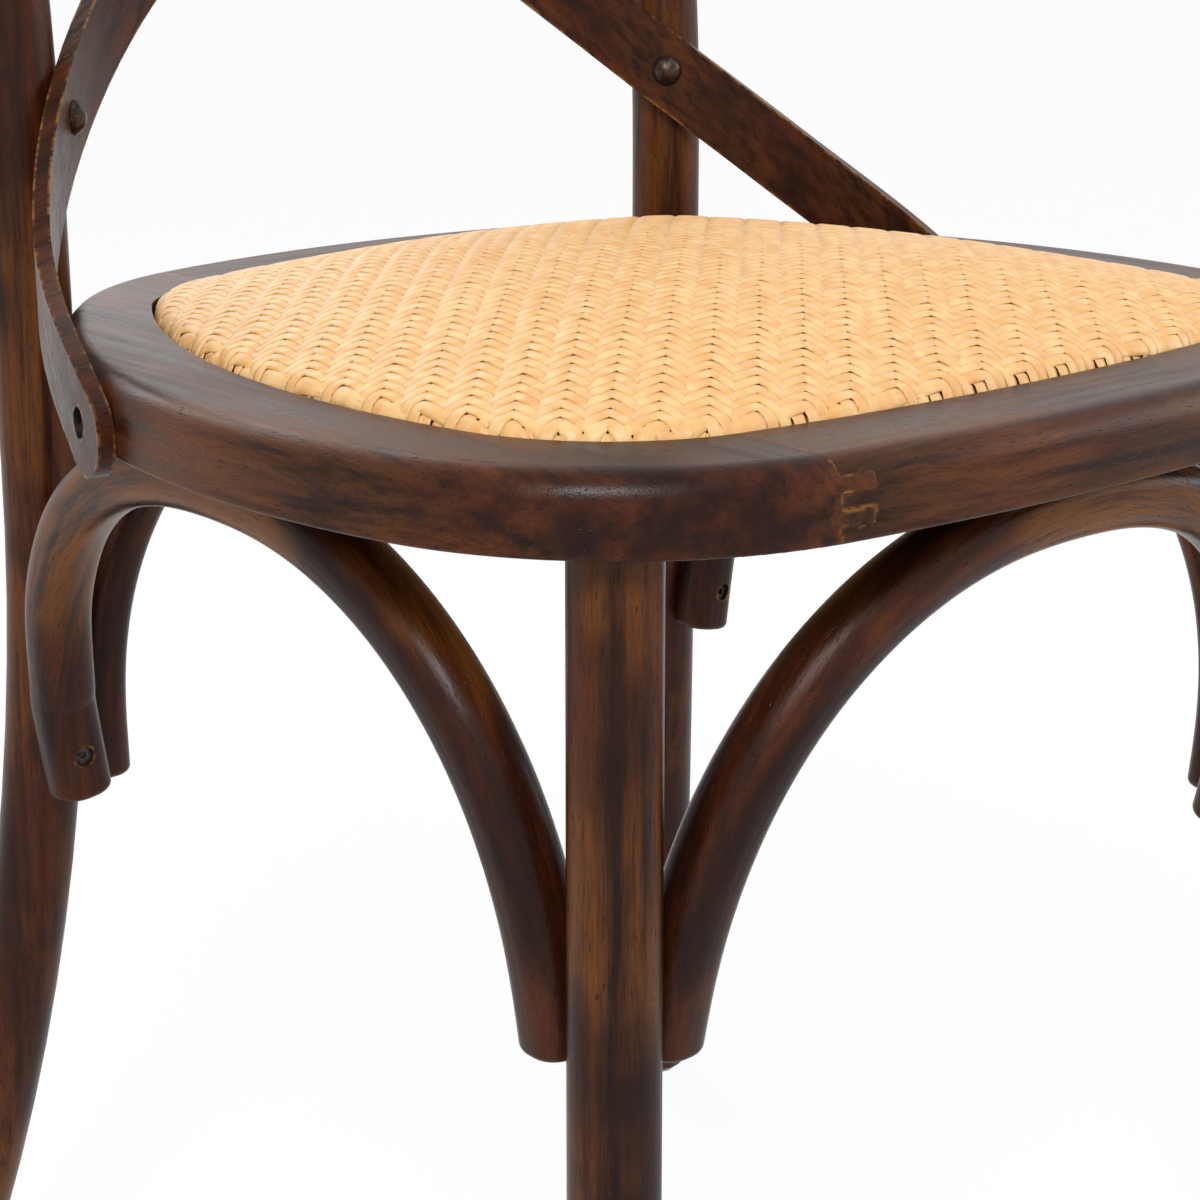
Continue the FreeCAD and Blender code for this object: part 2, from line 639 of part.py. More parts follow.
class Brace:
    """One brace: its two lower ends, the plan place of its apex, and how much lower it ends."""

    def __init__(self, end_a, end_b, apex, drop=0.0):
        low = V["brace_end_height"] - drop
        self.a, self.b, self.apex = end_a, end_b, apex
        self.middle = (end_a + end_b) * 0.5
        self.along = end_b - end_a
        self.half = self.along.Length / 2
        self.along.normalize()
        self.up = Vec(apex.x - self.middle.x, apex.y - self.middle.y,
                      APEX_Z - low)
        self.up = self.up - self.along * self.up.dot(self.along)
        self.height = self.up.Length
        self.up.normalize()
        self.base = Vec(self.middle.x, self.middle.y, low)

    def at(self, u, v):
        return self.base + self.along * u + self.up * v

    def path(self):
        """Straight arms, and between them an arch |u/a|^n + |v/b|^n = 1."""
        spring = (V["brace_spring"] - self.base.z) / self.up.z
        rise = self.height - spring
        power = 2 / V["brace_fullness"]
        count = 16
        points = []
        for i in range(count + 1):
            turn = math.pi * i / count
            across = -math.copysign(abs(math.cos(turn)) ** power, math.cos(turn))
            points.append(self.at(across * self.half, spring + rise * math.sin(turn) ** power))
        arch = Part.BSplineCurve()
        arch.interpolate(Points=points, InitialTangent=self.up, FinalTangent=self.up * -1)
        left = Part.LineSegment(self.at(-self.half, 0), points[0])
        right = Part.LineSegment(points[-1], self.at(self.half, 0))
        return Part.Wire([left.toShape(), arch.toShape(), right.toShape()])

    def section(self):
        """A square with rounded corners, square to the brace's first stretch."""
        h, c = V["brace_size"] / 2, V["brace_corner"]
        side = self.along.cross(self.up)
        mid = self.at(-self.half, 0)
        d = c * (1 - math.sqrt(0.5))
        edges = []
        spots = lambda u, v: mid + self.along * u + side * v
        turns = [(1, 1), (-1, 1), (-1, -1), (1, -1)]
        for i, (p, q) in enumerate(turns):
            r, s = turns[(i + 1) % 4]
            if p * q > 0:
                first, second = spots(p * h, q * (h - c)), spots(p * (h - c), q * h)
            else:
                first, second = spots(p * (h - c), q * h), spots(p * h, q * (h - c))
            edges.append(Part.Arc(first, spots(p * (h - d), q * (h - d)), second).toShape())
            if r * s > 0:
                following = spots(r * h, s * (h - c))
            else:
                following = spots(r * (h - c), s * h)
            edges.append(Part.LineSegment(second, following).toShape())
        return Part.Wire(edges)

    def solid(self):
        shape = self.path().makePipeShell([self.section()], True, False)
        ends = []
        for edge in shape.Edges:
            for end in (self.at(-self.half, 0), self.at(self.half, 0)):
                spot = edge.valueAt((edge.FirstParameter + edge.LastParameter) / 2)
                if abs((spot - end).dot(self.up)) < 0.01 and (spot - end).Length < V["brace_size"]:
                    if abs(edge.CenterOfMass.sub(end).dot(self.up)) < 0.01:
                        ends.append(edge)
        return shape.makeFillet(V["brace_end_round"], ends)


def beside(axis, radius, angle):
    """Where a brace end stands against a round leg, at an angle in plan (degrees)."""
    reach = radius + V["brace_size"] / 2 - V["brace_bite"]
    return Vec(axis.x, axis.y, 0) + polar(math.radians(angle), reach)


LEG_R = V["leg_top_dia"] / 2
SCREW_Z = V["brace_end_height"] + 18
REAR_AT_SCREW = rear_leg_at(SCREW_Z)[0]
BAND_MID = V["ring_band"] / 2
RING_REAR = FRONT + V["ring_depth"]

SIDE_FRONT_END = beside(LEG, LEG_R, 90)
SIDE_REAR_END = beside(REAR_AT_SCREW, HOOP_R, -90)
SIDE_APEX_Y = (SIDE_FRONT_END.y + SIDE_REAR_END.y) / 2
SIDE_APEX = Vec(LEG.x + V["brace_out"], SIDE_APEX_Y, 0)
FRONT_END = beside(LEG, LEG_R, 168)
REAR_END = beside(REAR_AT_SCREW, HOOP_R, 172)
BRACES = {
    "side": Brace(SIDE_FRONT_END, SIDE_REAR_END, SIDE_APEX),
    "front": Brace(mirrored(FRONT_END), FRONT_END, Vec(0, FRONT + BAND_MID + 7, 0)),
    "rear": Brace(mirrored(REAR_END), REAR_END, Vec(0, RING_REAR - BAND_MID, 0),
                  V["brace_rear_drop"]),
}


def screw_line(end, axis):
    """Where a brace screw starts, on the brace face away from the leg, and its way."""
    way = Vec(axis.x - end.x, axis.y - end.y, 0)
    way.normalize()
    return Vec(end.x, end.y, SCREW_Z) - way * (V["brace_size"] / 2), way


def lean_shift(brace, end):
    """The brace's arm leans, so its middle at the screw is a little off its end."""
    rise = (SCREW_Z - brace.base.z) / brace.up.z
    return Vec(end.x + brace.up.x * rise, end.y + brace.up.y * rise, 0)


def leg_screw_lines():
    side, front, rear = BRACES["side"], BRACES["front"], BRACES["rear"]
    right = [
        screw_line(lean_shift(side, SIDE_FRONT_END), LEG),
        screw_line(lean_shift(side, SIDE_REAR_END), REAR_AT_SCREW),
        screw_line(lean_shift(front, FRONT_END), LEG),
        screw_line(lean_shift(rear, REAR_END), REAR_AT_SCREW),
    ]
    left = [(mirrored(start), mirrored(way)) for start, way in right]
    return right + left


SEAT_SCREW_LENGTH = 36


def seat_screw_lines():
    """Screws from under each brace's apex up into the ring."""
    places = []
    for key in ("front", "rear", "side"):
        apex = BRACES[key].at(0, BRACES[key].height)
        places.append(Vec(apex.x, apex.y, APEX_Z - V["brace_size"] / 2))
        if key == "side":
            places.append(mirrored(places[-1]))
    return [(place, Vec(0, 0, 1)) for place in places]


def screw_hole(start, way, length):
    """Pilot and countersink for one screw."""
    slip = V["slip"]
    head = rod(start - way * 6, way, V["screw_recess"] + 6 + 2.2, V["screw_head_dia"] / 2 + slip)
    shank = rod(start, way, V["screw_recess"] + length + 0.5, V["screw_dia"] / 2 + slip)
    return head.fuse(shank)


def screw(start, way, length):
    """One screw: a disc head on a plain shank."""
    top = start + way * V["screw_recess"]
    head = rod(top, way, 2.2, V["screw_head_dia"] / 2)
    shank = rod(top, way, length, V["screw_dia"] / 2)
    slot = Part.makeCylinder(1.4, 1.2, top, way)
    return head.fuse(shank).cut(slot)


def brace_seat_holes():
    return [screw_hole(start, way, SEAT_SCREW_LENGTH) for start, way in seat_screw_lines()]


def brace_shapes():
    leg_lines = leg_screw_lines()
    seat_lines = seat_screw_lines()
    lid = Part.makeBox(1000, 1000, 60, Vec(-500, -500, UNDER))
    legs = []
    taper = Part.makeCone(V["leg_foot_dia"] / 2 + V["slip"], LEG_R + V["slip"],
                          UNDER - V["glide_thickness"], Vec(LEG.x, LEG.y, V["glide_thickness"]))
    for side in both_sides(taper):
        legs.append(side)
    for side in both_sides(rear_leg_tool()):
        legs.append(side)
    finished = {}
    for key, brace in BRACES.items():
        shape = brace.solid().cut(lid)
        for leg in legs:
            shape = shape.cut(leg)
        for start, way in leg_lines:
            shape = shape.cut(screw_hole(start, way, V["screw_length"]))
        for start, way in seat_lines:
            shape = shape.cut(screw_hole(start, way, SEAT_SCREW_LENGTH))
        finished[key] = shape
    feature("front_brace", finished["front"])
    feature("rear_brace", finished["rear"])
    right, left = both_sides(finished["side"])
    feature("side_brace_right", right)
    feature("side_brace_left", left)


def rear_leg_tool():
    """The rear leg as a cutting tool for the braces that are scribed to it."""
    low = V["brace_end_height"] - 40
    start, way = rear_leg_at(low)
    middle = rear_leg_at((low + V["leg_bend_from"]) / 2)[0]
    end = POST + Vec(0, 0, V["leg_bend_from"])
    path = Part.Wire([Part.Arc(start, middle, end).toShape(),
                      Part.LineSegment(end, end + Vec(0, 0, 60)).toShape()])
    ring = Part.Wire(Part.Circle(start, way, HOOP_R + V["slip"]).toShape())
    return path.makePipeShell([ring], True, False)


# Seat panel, foam and woven cover
PANEL_TOP = UNDER + V["ledge_height"] + V["panel_thickness"]
PANEL_SCREW_LENGTH = 17


def panel_screw_lines():
    """Four screws through the ledge into the panel."""
    reach = V["ring_band"] + V["ledge_width"] / 2
    spots = [Vec(60, FRONT + reach + 1.5, 0), Vec(40, RING_REAR - reach - 2.5, 0)]
    spots += [mirrored(spot) for spot in spots]
    return [(Vec(spot.x, spot.y, UNDER), Vec(0, 0, 1)) for spot in spots]


def panel_holes():
    return [screw_hole(start, way, PANEL_SCREW_LENGTH) for start, way in panel_screw_lines()]


DOME_SKIRT = 4


def dome(shrink, bottom, top, lower_crown):
    """A crowned pad with drawn-in sides: a loft through outlines that step in and up."""
    crown = top - V["seat_height"] - lower_crown
    edge = V["ring_band"] + 1.6 + shrink
    levels = [(1.0, bottom), (1.0, V["seat_height"] - 4 - lower_crown)]
    for share in (0.97, 0.93, 0.86, 0.76, 0.62, 0.44, 0.24):
        rise = 1 - share ** 2.6
        levels.append((share, V["seat_height"] - lower_crown + crown * rise))
    wires = [outline(edge, z, scale) for scale, z in levels]
    pad = Part.makeLoft(wires, True, False)
    below = Part.makeBox(1000, 1000, 60, Vec(-500, -500, bottom + DOME_SKIRT - 60))
    return pad.cut(below)


def seat_shapes():
    panel = slab(V["ring_band"] + 0.5, UNDER + V["ledge_height"], PANEL_TOP)
    for hole in panel_holes():
        panel = panel.cut(hole)
    feature("seat_panel", panel)
    base = PANEL_TOP + V["soft_gap"]
    top = V["seat_height"] + V["seat_crown"]
    cover = V["cover_thickness"]
    base = base - DOME_SKIRT
    outer = dome(0, base, top, 0)
    inner = dome(cover, base - 2, top - cover, cover)
    feature("woven_rattan_seat", outer.cut(inner))
    feature("seat_foam", dome(cover + V["soft_gap"], base, top - cover - V["soft_gap"],
                              cover + V["soft_gap"]))


# Fasteners
def dome_head(start, out, radius, height):
    """A domed head: a ball's cap on a face, its top pointing out."""
    ball = (radius ** 2 + height ** 2) / (2 * height)
    sphere = Part.makeSphere(ball, start + out * (height - ball))
    keep = Part.makeCylinder(radius + 1, height + 1, start, out)
    return sphere.common(keep)


def dome_nail(face, into, length):
    """A domed head on a face, and its shank."""
    out = into * -1
    head = dome_head(face, out, V["rivet_head_dia"] / 2, V["rivet_head_height"])
    shank = rod(face - into * 0.5, into, length + 0.5, V["rivet_dia"] / 2)
    return head.fuse(shank)


def strap_nail(spot, out):
    """A domed nail through a strap into the hoop."""
    thick = V["strap_thickness"]
    return dome_nail(spot - out * (thick / 2 + 0.3), out, thick + V["nail_depth"])


def fasteners():
    slip = V["slip"]
    thick = V["strap_thickness"]
    for name, right, left in (
            ("post_nails", strap_nail(RIGHT_STRAP.post, RIGHT_STRAP.post_out),
             strap_nail(LEFT_STRAP.post, LEFT_STRAP.post_out)),
            ("strap_top_nails", strap_nail(RIGHT_STRAP.top, RIGHT_STRAP.top_out),
             strap_nail(LEFT_STRAP.top, LEFT_STRAP.top_out))):
        feature(name, Part.makeCompound([right, flip(left)]))
    cross_face = Vec(0, STRAP_BACK - thick - 0.35, CROSS_Z)
    cross_length = 2 * thick + 0.7
    cross = dome_nail(cross_face, Vec(0, 1, 0), cross_length)
    clench = rod(cross_face + Vec(0, cross_length, 0), Vec(0, 1, 0), 1.6, V["rivet_dia"])
    feature("crossing_rivet", cross.fuse(clench))
    cups = [cup_bolt(RIGHT_STRAP), flip(cup_bolt(LEFT_STRAP))]
    feature("strap_seat_bolts", Part.makeCompound(cups))
    feature("hoop_bolts", Part.makeCompound(both_sides(hoop_bolt())))
    nut = rod(Vec(NUT_AT.x, NUT_AT.y, NUT_AT.z - 7), Vec(0, 0, 1), 14, NUT_DIA / 2)
    nut = nut.cut(rod(BOLT_START, BOLT_WAY, BOLT_LENGTH + 20, V["bolt_dia"] / 2 + slip))
    feature("hoop_barrel_nuts", Part.makeCompound(both_sides(nut)))
    feature("brace_leg_screws", Part.makeCompound(
        [screw(start, way, V["screw_length"]) for start, way in leg_screw_lines()]))
    feature("brace_seat_screws", Part.makeCompound(
        [screw(start, way, SEAT_SCREW_LENGTH) for start, way in seat_screw_lines()]))
    feature("seat_panel_screws", Part.makeCompound(
        [screw(start, way, PANEL_SCREW_LENGTH - 3) for start, way in panel_screw_lines()]))


def cup_bolt(strap):
    """Seat bolt: a cup let into the strap, on a shank that screws into the side rail."""
    radius = V["cup_dia"] / 2
    depth = V["strap_thickness"] - 0.4
    out = strap.bolt_out
    face = strap.bolt + out * (V["strap_thickness"] / 2)
    cup = rod(face - out * depth, out, depth, radius)
    hollow = rod(face - out * (depth - 2), out, depth, radius - 1.2)
    socket = rod(face - out * (depth - 1), out, depth, 2.2)
    shank = rod(face - out * (depth + 30), out, 31, V["bolt_dia"] / 2)
    return cup.cut(hollow).fuse(shank).cut(socket)


def hoop_bolt():
    """Hoop bolt: a low domed head on the post, and a shank into the barrel nut."""
    head = dome_head(BOLT_START - BOLT_WAY * 0.02, BOLT_WAY * -1, 6.5, 3)
    shank = rod(BOLT_START - BOLT_WAY * 0.5, BOLT_WAY, BOLT_LENGTH - 0.5, V["bolt_dia"] / 2)
    cap = head.fuse(shank)
    seat = rod(POST + Vec(0, 0, BOLT_Z - 20), Vec(0, 0, 1), 40, HOOP_R + 0.02)
    return cap.cut(seat.cut(rod(BOLT_START - BOLT_WAY, BOLT_WAY, BOLT_LENGTH,
                                V["bolt_dia"] / 2 + 0.01)))


# Front legs: turned, with a tenon, drawn as half profiles and spun
def plane_of(body, role):
    for item in body.Origin.OriginFeatures:
        if item.Role == role:
            return item


def turned(label, place, points, bound):
    """A body spun about its axis from a closed profile of (radius, height) points.

    bound maps a point's number to the sheet formulas of its radius and height."""
    body = doc.addObject("PartDesign::Body", "body_" + label)
    sketch = body.newObject("Sketcher::SketchObject", "profile_" + label)
    sketch.AttachmentSupport = (plane_of(body, "XZ_Plane"), [""])
    sketch.MapMode = "FlatFace"
    count = len(points)
    for i in range(count):
        a, b = points[i], points[(i + 1) % count]
        sketch.addGeometry(Part.LineSegment(Vec(a[0], a[1], 0), Vec(b[0], b[1], 0)), False)
    import Sketcher
    for i in range(count):
        sketch.addConstraint(Sketcher.Constraint("Coincident", i, 2, (i + 1) % count, 1))
    for i, (across, height) in bound.items():
        x = sketch.addConstraint(Sketcher.Constraint("DistanceX", -1, 1, i, 1, points[i][0]))
        y = sketch.addConstraint(Sketcher.Constraint("DistanceY", -1, 1, i, 1, points[i][1]))
        sketch.setExpression("Constraints[%d]" % x, across)
        sketch.setExpression("Constraints[%d]" % y, height)
    spin = body.newObject("PartDesign::Revolution", "spin_" + label)
    spin.Profile = sketch
    spin.ReferenceAxis = (sketch, ["V_Axis"])
    spin.Angle = 360
    body.Placement = FreeCAD.Placement(place, FreeCAD.Rotation())
    return node(body, label)


def front_legs():
    glide = V["glide_thickness"]
    length = UNDER - glide
    top, foot = V["leg_top_dia"] / 2, V["leg_foot_dia"] / 2
    tenon, tall = V["tenon_dia"] / 2, V["tenon_length"]
    pin = V["pin_dia"] / 2 + V["slip"]
    bore = V["pin_length"] + 1
    points = [(0, bore), (pin, bore), (pin, 0), (foot - 2, 0), (foot, 2), (top, length - 1.5),
              (top - 1.5, length), (tenon, length), (tenon, length + tall - 1),
              (tenon - 1, length + tall), (0, length + tall)]
    body = "(sizes.seat_height - sizes.ring_thickness - sizes.glide_thickness)"
    pin_f = "sizes.pin_dia / 2 + sizes.slip"
    bound = {
        1: (pin_f, "sizes.pin_length + 1"),
        4: ("sizes.leg_foot_dia / 2", "2"),
        5: ("sizes.leg_top_dia / 2", body + " - 1.5"),
        6: ("sizes.leg_top_dia / 2 - 1.5", body),
        7: ("sizes.tenon_dia / 2", body),
        8: ("sizes.tenon_dia / 2", body + " + sizes.tenon_length - 1"),
        9: ("sizes.tenon_dia / 2 - 1", body + " + sizes.tenon_length"),
    }
    for side, sign in (("right", 1), ("left", -1)):
        place = Vec(LEG.x * sign, LEG.y, glide)
        blank = turned("front_leg_%s_blank" % side, place, points, bound)
        NODES.remove(blank)
        drills = doc.addObject("Part::Feature", "drills_" + side)
        lines = [line for line in leg_screw_lines() if line[0].x * sign > 0 and line[0].y < 0]
        drills.Shape = Part.makeCompound([screw_hole(s, w, V["screw_length"]) for s, w in lines])
        cut = doc.addObject("Part::Cut", "drilled_leg_" + side)
        cut.Base, cut.Tool = blank, drills
        node(cut, "front_leg_" + side)


def glides():
    thick = V["glide_thickness"]
    for name, foot in (("front", FRONT_FOOT), ("rear", REAR_FOOT)):
        for side, sign in (("right", 1), ("left", -1)):
            disc = doc.addObject("Part::Cylinder", "disc_%s_%s" % (name, side))
            disc.setExpression("Radius", "sizes.glide_dia / 2")
            disc.setExpression("Height", "sizes.glide_thickness - 0.02")
            disc.Placement = FreeCAD.Placement(Vec(foot.x * sign, foot.y, 0), FreeCAD.Rotation())
            bore = doc.addObject("Part::Cylinder", "bore_%s_%s" % (name, side))
            bore.setExpression("Radius", "sizes.pin_dia / 2 + sizes.slip")
            bore.setExpression("Height", "sizes.glide_thickness + 10")
            bore.Placement = FreeCAD.Placement(Vec(foot.x * sign, foot.y, 1.5),
                                               FreeCAD.Rotation())
            cut = doc.addObject("Part::Cut", "glide_%s_%s" % (name, side))
            cut.Base, cut.Tool = disc, bore
            node(cut, "%s_glide_%s" % (name, side))
    pins = []
    for foot in (FRONT_FOOT, REAR_FOOT):
        for sign in (1, -1):
            pin = doc.addObject("Part::Cylinder", "pin_%d_%d" % (foot.y > 0, sign))
            pin.setExpression("Radius", "sizes.pin_dia / 2")
            pin.setExpression("Height", "sizes.glide_thickness + sizes.pin_length - 1.6")
            pin.Placement = FreeCAD.Placement(Vec(foot.x * sign, foot.y, 1.6),
                                              FreeCAD.Rotation())
            pins.append(pin)
    group = doc.addObject("Part::Compound", "all_pins")
    group.Links = pins
    node(group, "glide_pins")


def drilled(shape):
    """The hoop with the holes for the brace screws and the flats under the straps."""
    for bed in strap_beds():
        shape = shape.cut(bed)
    for start, way in leg_screw_lines():
        if start.y > 0:
            shape = shape.cut(screw_hole(start, way, V["screw_length"]))
    return shape


feature("back_hoop", drilled(hoop_shape()))
ring_rails()
brace_shapes()
front_legs()
feature("cross_strap_right", RIGHT_STRAP.solid())
feature("cross_strap_left", flip(LEFT_STRAP.solid()))
seat_shapes()
fasteners()
glides()
doc.recompute()

# Check and write
for obj in doc.Objects:
    if "Invalid" in obj.State or "Error" in obj.State:
        raise RuntimeError("failed object " + obj.Name)
whole = []
for obj in NODES:
    shape = obj.Shape
    if shape.isNull() or not shape.isValid() or not shape.Solids:
        raise RuntimeError("bad shape " + obj.Label)
    whole.append(shape)
os.makedirs("parts", exist_ok=True)
for obj in NODES:
    obj.Shape.exportStep("parts/%s.step" % obj.Label)
    print(obj.Label, len(obj.Shape.Solids), round(obj.Shape.Volume / 1000, 2), "cm3")
box = Part.makeCompound(whole).BoundBox
print("box", [round(v, 2) for v in (box.XMin, box.XMax, box.YMin, box.YMax, box.ZMin, box.ZMax)])
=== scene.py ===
# %% [markdown]
# # A cross back chair with a woven rattan seat
# The real chair is beech, bent or sawn to shape, stained dark walnut and rubbed back by hand.
# Its seat is a plywood board with a foam pad, covered by a mat of peeled rattan.
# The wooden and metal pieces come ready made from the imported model, so this lesson gives them
# their finishes, weaves the seat mat strip by strip, and then lights and frames the chair.

import math

import bpy
import numpy as np
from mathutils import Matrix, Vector


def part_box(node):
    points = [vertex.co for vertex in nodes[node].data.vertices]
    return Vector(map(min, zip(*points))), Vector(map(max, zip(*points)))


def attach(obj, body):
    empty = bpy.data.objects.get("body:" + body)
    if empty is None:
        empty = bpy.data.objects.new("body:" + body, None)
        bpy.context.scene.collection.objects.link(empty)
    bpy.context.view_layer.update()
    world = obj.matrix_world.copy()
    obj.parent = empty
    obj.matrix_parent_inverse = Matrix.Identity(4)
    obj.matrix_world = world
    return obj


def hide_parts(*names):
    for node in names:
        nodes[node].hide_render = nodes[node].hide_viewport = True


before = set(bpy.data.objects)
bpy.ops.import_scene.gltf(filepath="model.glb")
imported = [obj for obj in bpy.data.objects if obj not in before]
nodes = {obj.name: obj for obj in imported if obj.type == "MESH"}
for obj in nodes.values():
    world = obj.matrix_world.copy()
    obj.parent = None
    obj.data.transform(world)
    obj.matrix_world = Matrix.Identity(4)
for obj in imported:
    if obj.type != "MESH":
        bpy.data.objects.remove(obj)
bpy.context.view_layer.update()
MM = 0.001
print("pieces in the frame:", len(nodes))

# %% [markdown]
# ## Small helpers
# A colour is written as a hex value, as a paint chart gives it, and a shader wants it linear.
# One helper adds a shader node, sets its values and makes its links, so that a finish reads
# as a list of what is laid on the surface.


# %% Helpers for colours and shader nodes
def linear(colour):
    """Hex to linear: c / 12.92 below 0.04045, otherwise ((c + 0.055) / 1.055) to the 2.4."""
    parts = [int(colour[i : i + 2], 16) / 255 for i in (1, 3, 5)]
    parts = [c / 12.92 if c < 0.04045 else ((c + 0.055) / 1.055) ** 2.4 for c in parts]
    return (*parts, 1.0)


def put(tree, kind, inputs=None, **settings):
    """Adds a shader node, sets its properties, and fills or links its inputs."""
    node = tree.nodes.new("ShaderNode" + kind)
    for name, value in settings.items():
        setattr(node, name, value)
    for name, value in (inputs or {}).items():
        if isinstance(value, bpy.types.NodeSocket):
            tree.links.new(value, node.inputs[name])
        else:
            node.inputs[name].default_value = value
    return node


def sums(tree, operation, first, second=0.0, third=0.0):
    """One arithmetic step. Each part is a number or a socket."""
    node = put(tree, "Math", {0: first, 1: second, 2: third}, operation=operation)
    return node.outputs[0]


def between(tree, value, low, high, start=0.0, end=1.0):
    """A smooth step: start below low, end above high."""
    inputs = {"Value": value, "From Min": low, "From Max": high, "To Min": start, "To Max": end}
    return put(tree, "MapRange", inputs, interpolation_type="SMOOTHSTEP").outputs[0]


def blended(tree, share, under, over):
    """Two colours mixed by a share. Each colour is a hex value or a socket."""
    under = linear(under) if isinstance(under, str) else under
    over = linear(over) if isinstance(over, str) else over
    node = put(tree, "Mix", {0: share, 6: under, 7: over}, data_type="RGBA")
    return node.outputs[2]


def noise(tree, place, size, detail=2.0, roughness=0.5):
    """Noise whose patches are about size metres across."""
    inputs = {"Vector": place, "Scale": 1 / size, "Detail": detail, "Roughness": roughness}
    return put(tree, "TexNoise", inputs).outputs[0]


def stretched(tree, place, amounts):
    """The place times an amount along each axis. A pattern grows long where the amount is small."""
    node = put(tree, "VectorMath", {0: place, 1: amounts}, operation="MULTIPLY")
    return node.outputs[0]


def ridged(tree, shader, height, strength, depth):
    """Fine relief on a finish: bumps that follow a height, up to a depth in metres."""
    bump = put(tree, "Bump", {"Strength": strength, "Distance": depth, "Height": height})
    tree.links.new(bump.outputs[0], shader.inputs["Normal"])


def new_finish(name):
    """An empty finish: its material, its node tree and its shader."""
    finish = bpy.data.materials.new(name)
    finish.use_nodes = True
    tree = finish.node_tree
    tree.nodes.clear()
    shader = put(tree, "BsdfPrincipled")
    out = put(tree, "OutputMaterial")
    tree.links.new(shader.outputs[0], out.inputs[0])
    return finish, tree, shader


def wear(names, finish):
    """Puts the finish on each named piece of the frame."""
    for name in names:
        nodes[name].data.materials.clear()
        nodes[name].data.materials.append(finish)


print("helpers ready")

# %% [markdown]
# ## Which way the grain runs
# Wood grain follows each piece: straight up a turned leg, along a sawn rail, and round the
# bend in bent wood. A pattern that is stretched along one axis would cross a bend, so each
# family of pieces gets its own coordinates: how far along the grain, how far across, and how
# deep. For an arch they are the angle round its middle times its radius, the distance from
# the middle, and the distance out of its plane. Below the middle the arch's legs run straight.


# %% Coordinates along the grain
def join(tree, along, across, deep):
    """The three grain coordinates as one vector."""
    return put(tree, "CombineXYZ", {0: along, 1: across, 2: deep}).outputs[0]


def object_place(tree):
    """The piece's own x, y and z in metres."""
    place = put(tree, "TexCoord").outputs["Object"]
    split = put(tree, "SeparateXYZ", {0: place})
    return split.outputs[0], split.outputs[1], split.outputs[2]


def up_grain(tree):
    """Grain straight up, for turned legs."""
    x, y, z = object_place(tree)
    return join(tree, z, x, y)


def along_x(tree):
    """Grain from side to side, for the front and rear rails."""
    x, y, z = object_place(tree)
    return join(tree, x, z, y)


def along_y(tree):
    """Grain from front to back, for the side rails."""
    x, y, z = object_place(tree)
    return join(tree, y, z, x)


def arch_grain(spring, reach, over_y):
    """Grain round an arch that springs at a height, over y or over x."""

    def make(tree):
        x, y, z = object_place(tree)
        side, deep = (y, x) if over_y else (x, y)
        if over_y:
            side = sums(tree, "SUBTRACT", side, SIDE_ARCH_MIDDLE)
        above = sums(tree, "SUBTRACT", z, spring)
        lift = sums(tree, "MAXIMUM", above, 0.0)
        below = sums(tree, "MINIMUM", above, 0.0)
        turn = sums(tree, "ARCTAN2", lift, side)
        along = sums(tree, "MULTIPLY_ADD", turn, reach, below)
        square = sums(tree, "MULTIPLY", side, side)
        radius = sums(tree, "SQRT", sums(tree, "MULTIPLY_ADD", lift, lift, square))
        return join(tree, along, radius, deep)

    return make


def strap_grain(way):
    """Grain down a back strap: the run round its plan circle, and the height above its line."""

    def make(tree):
        x, y, z = object_place(tree)
        ahead = sums(tree, "SUBTRACT", y, STRAP_CENTRE_Y)
        turn = sums(tree, "ARCTAN2", sums(tree, "MULTIPLY", x, way), ahead)
        run = sums(tree, "MULTIPLY", turn, STRAP_REACH)
        across = sums(tree, "MULTIPLY_ADD", run, STRAP_FALL, z)
        return join(tree, run, across, y)

    return make


SIDE_ARCH_MIDDLE = sum(corner.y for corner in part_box("side_brace_left")) / 2
# metres: heights where the arches spring, and their radii
HOOP_SPRING, HOOP_REACH = 0.62, 0.16
BRACE_SPRING, END_BRACE_REACH, SIDE_BRACE_REACH = 0.282, 0.145, 0.14
# the straps run round the seat on a plan circle, and fall as they go
STRAP_CENTRE_Y = -0.02
STRAP_REACH = 0.245
STRAP_FALL = 0.72
print("middle of the side arches:", round(SIDE_ARCH_MIDDLE, 4))

# %% [markdown]
# ## The stained wood
# The finish is a dark walnut stain under satin lacquer, padded on by hand: brown-black where
# it gathered, red-brown where the grain drank less, and rubbed back to honey at edges and on
# the crowns of the bends. The bevel node tells an edge from a flat face, because the rounded
# normal turns away from the true one only near an edge. Beech shows short dark flecks, so the
# finest noise is stretched along the grain. Beech fleck is 1 to 3 mm long and a few tenths of
# a millimetre wide; it is drawn twice as coarse here, to show at the size of this picture.


# %% The stained wood
DARK_STAIN = "#170907"
WALNUT = "#2f140a"
RED_BROWN = "#4a2210"
AMBER = "#764618"
HONEY = "#b07a35"
EDGE_WIDTH = 2.5 * MM
RUB_PATCH = 60 * MM
CLOUD = 20 * MM
WORN_PATCH = 9 * MM
STREAK = 6 * MM
PORE = 0.9 * MM
FLECK = 0.5 * MM
RELIEF_DEPTH = 0.3 * MM
LONG_FIGURE = (0.06, 1.0, 1.0)
SHORT_FIGURE = (0.2, 1.0, 1.0)


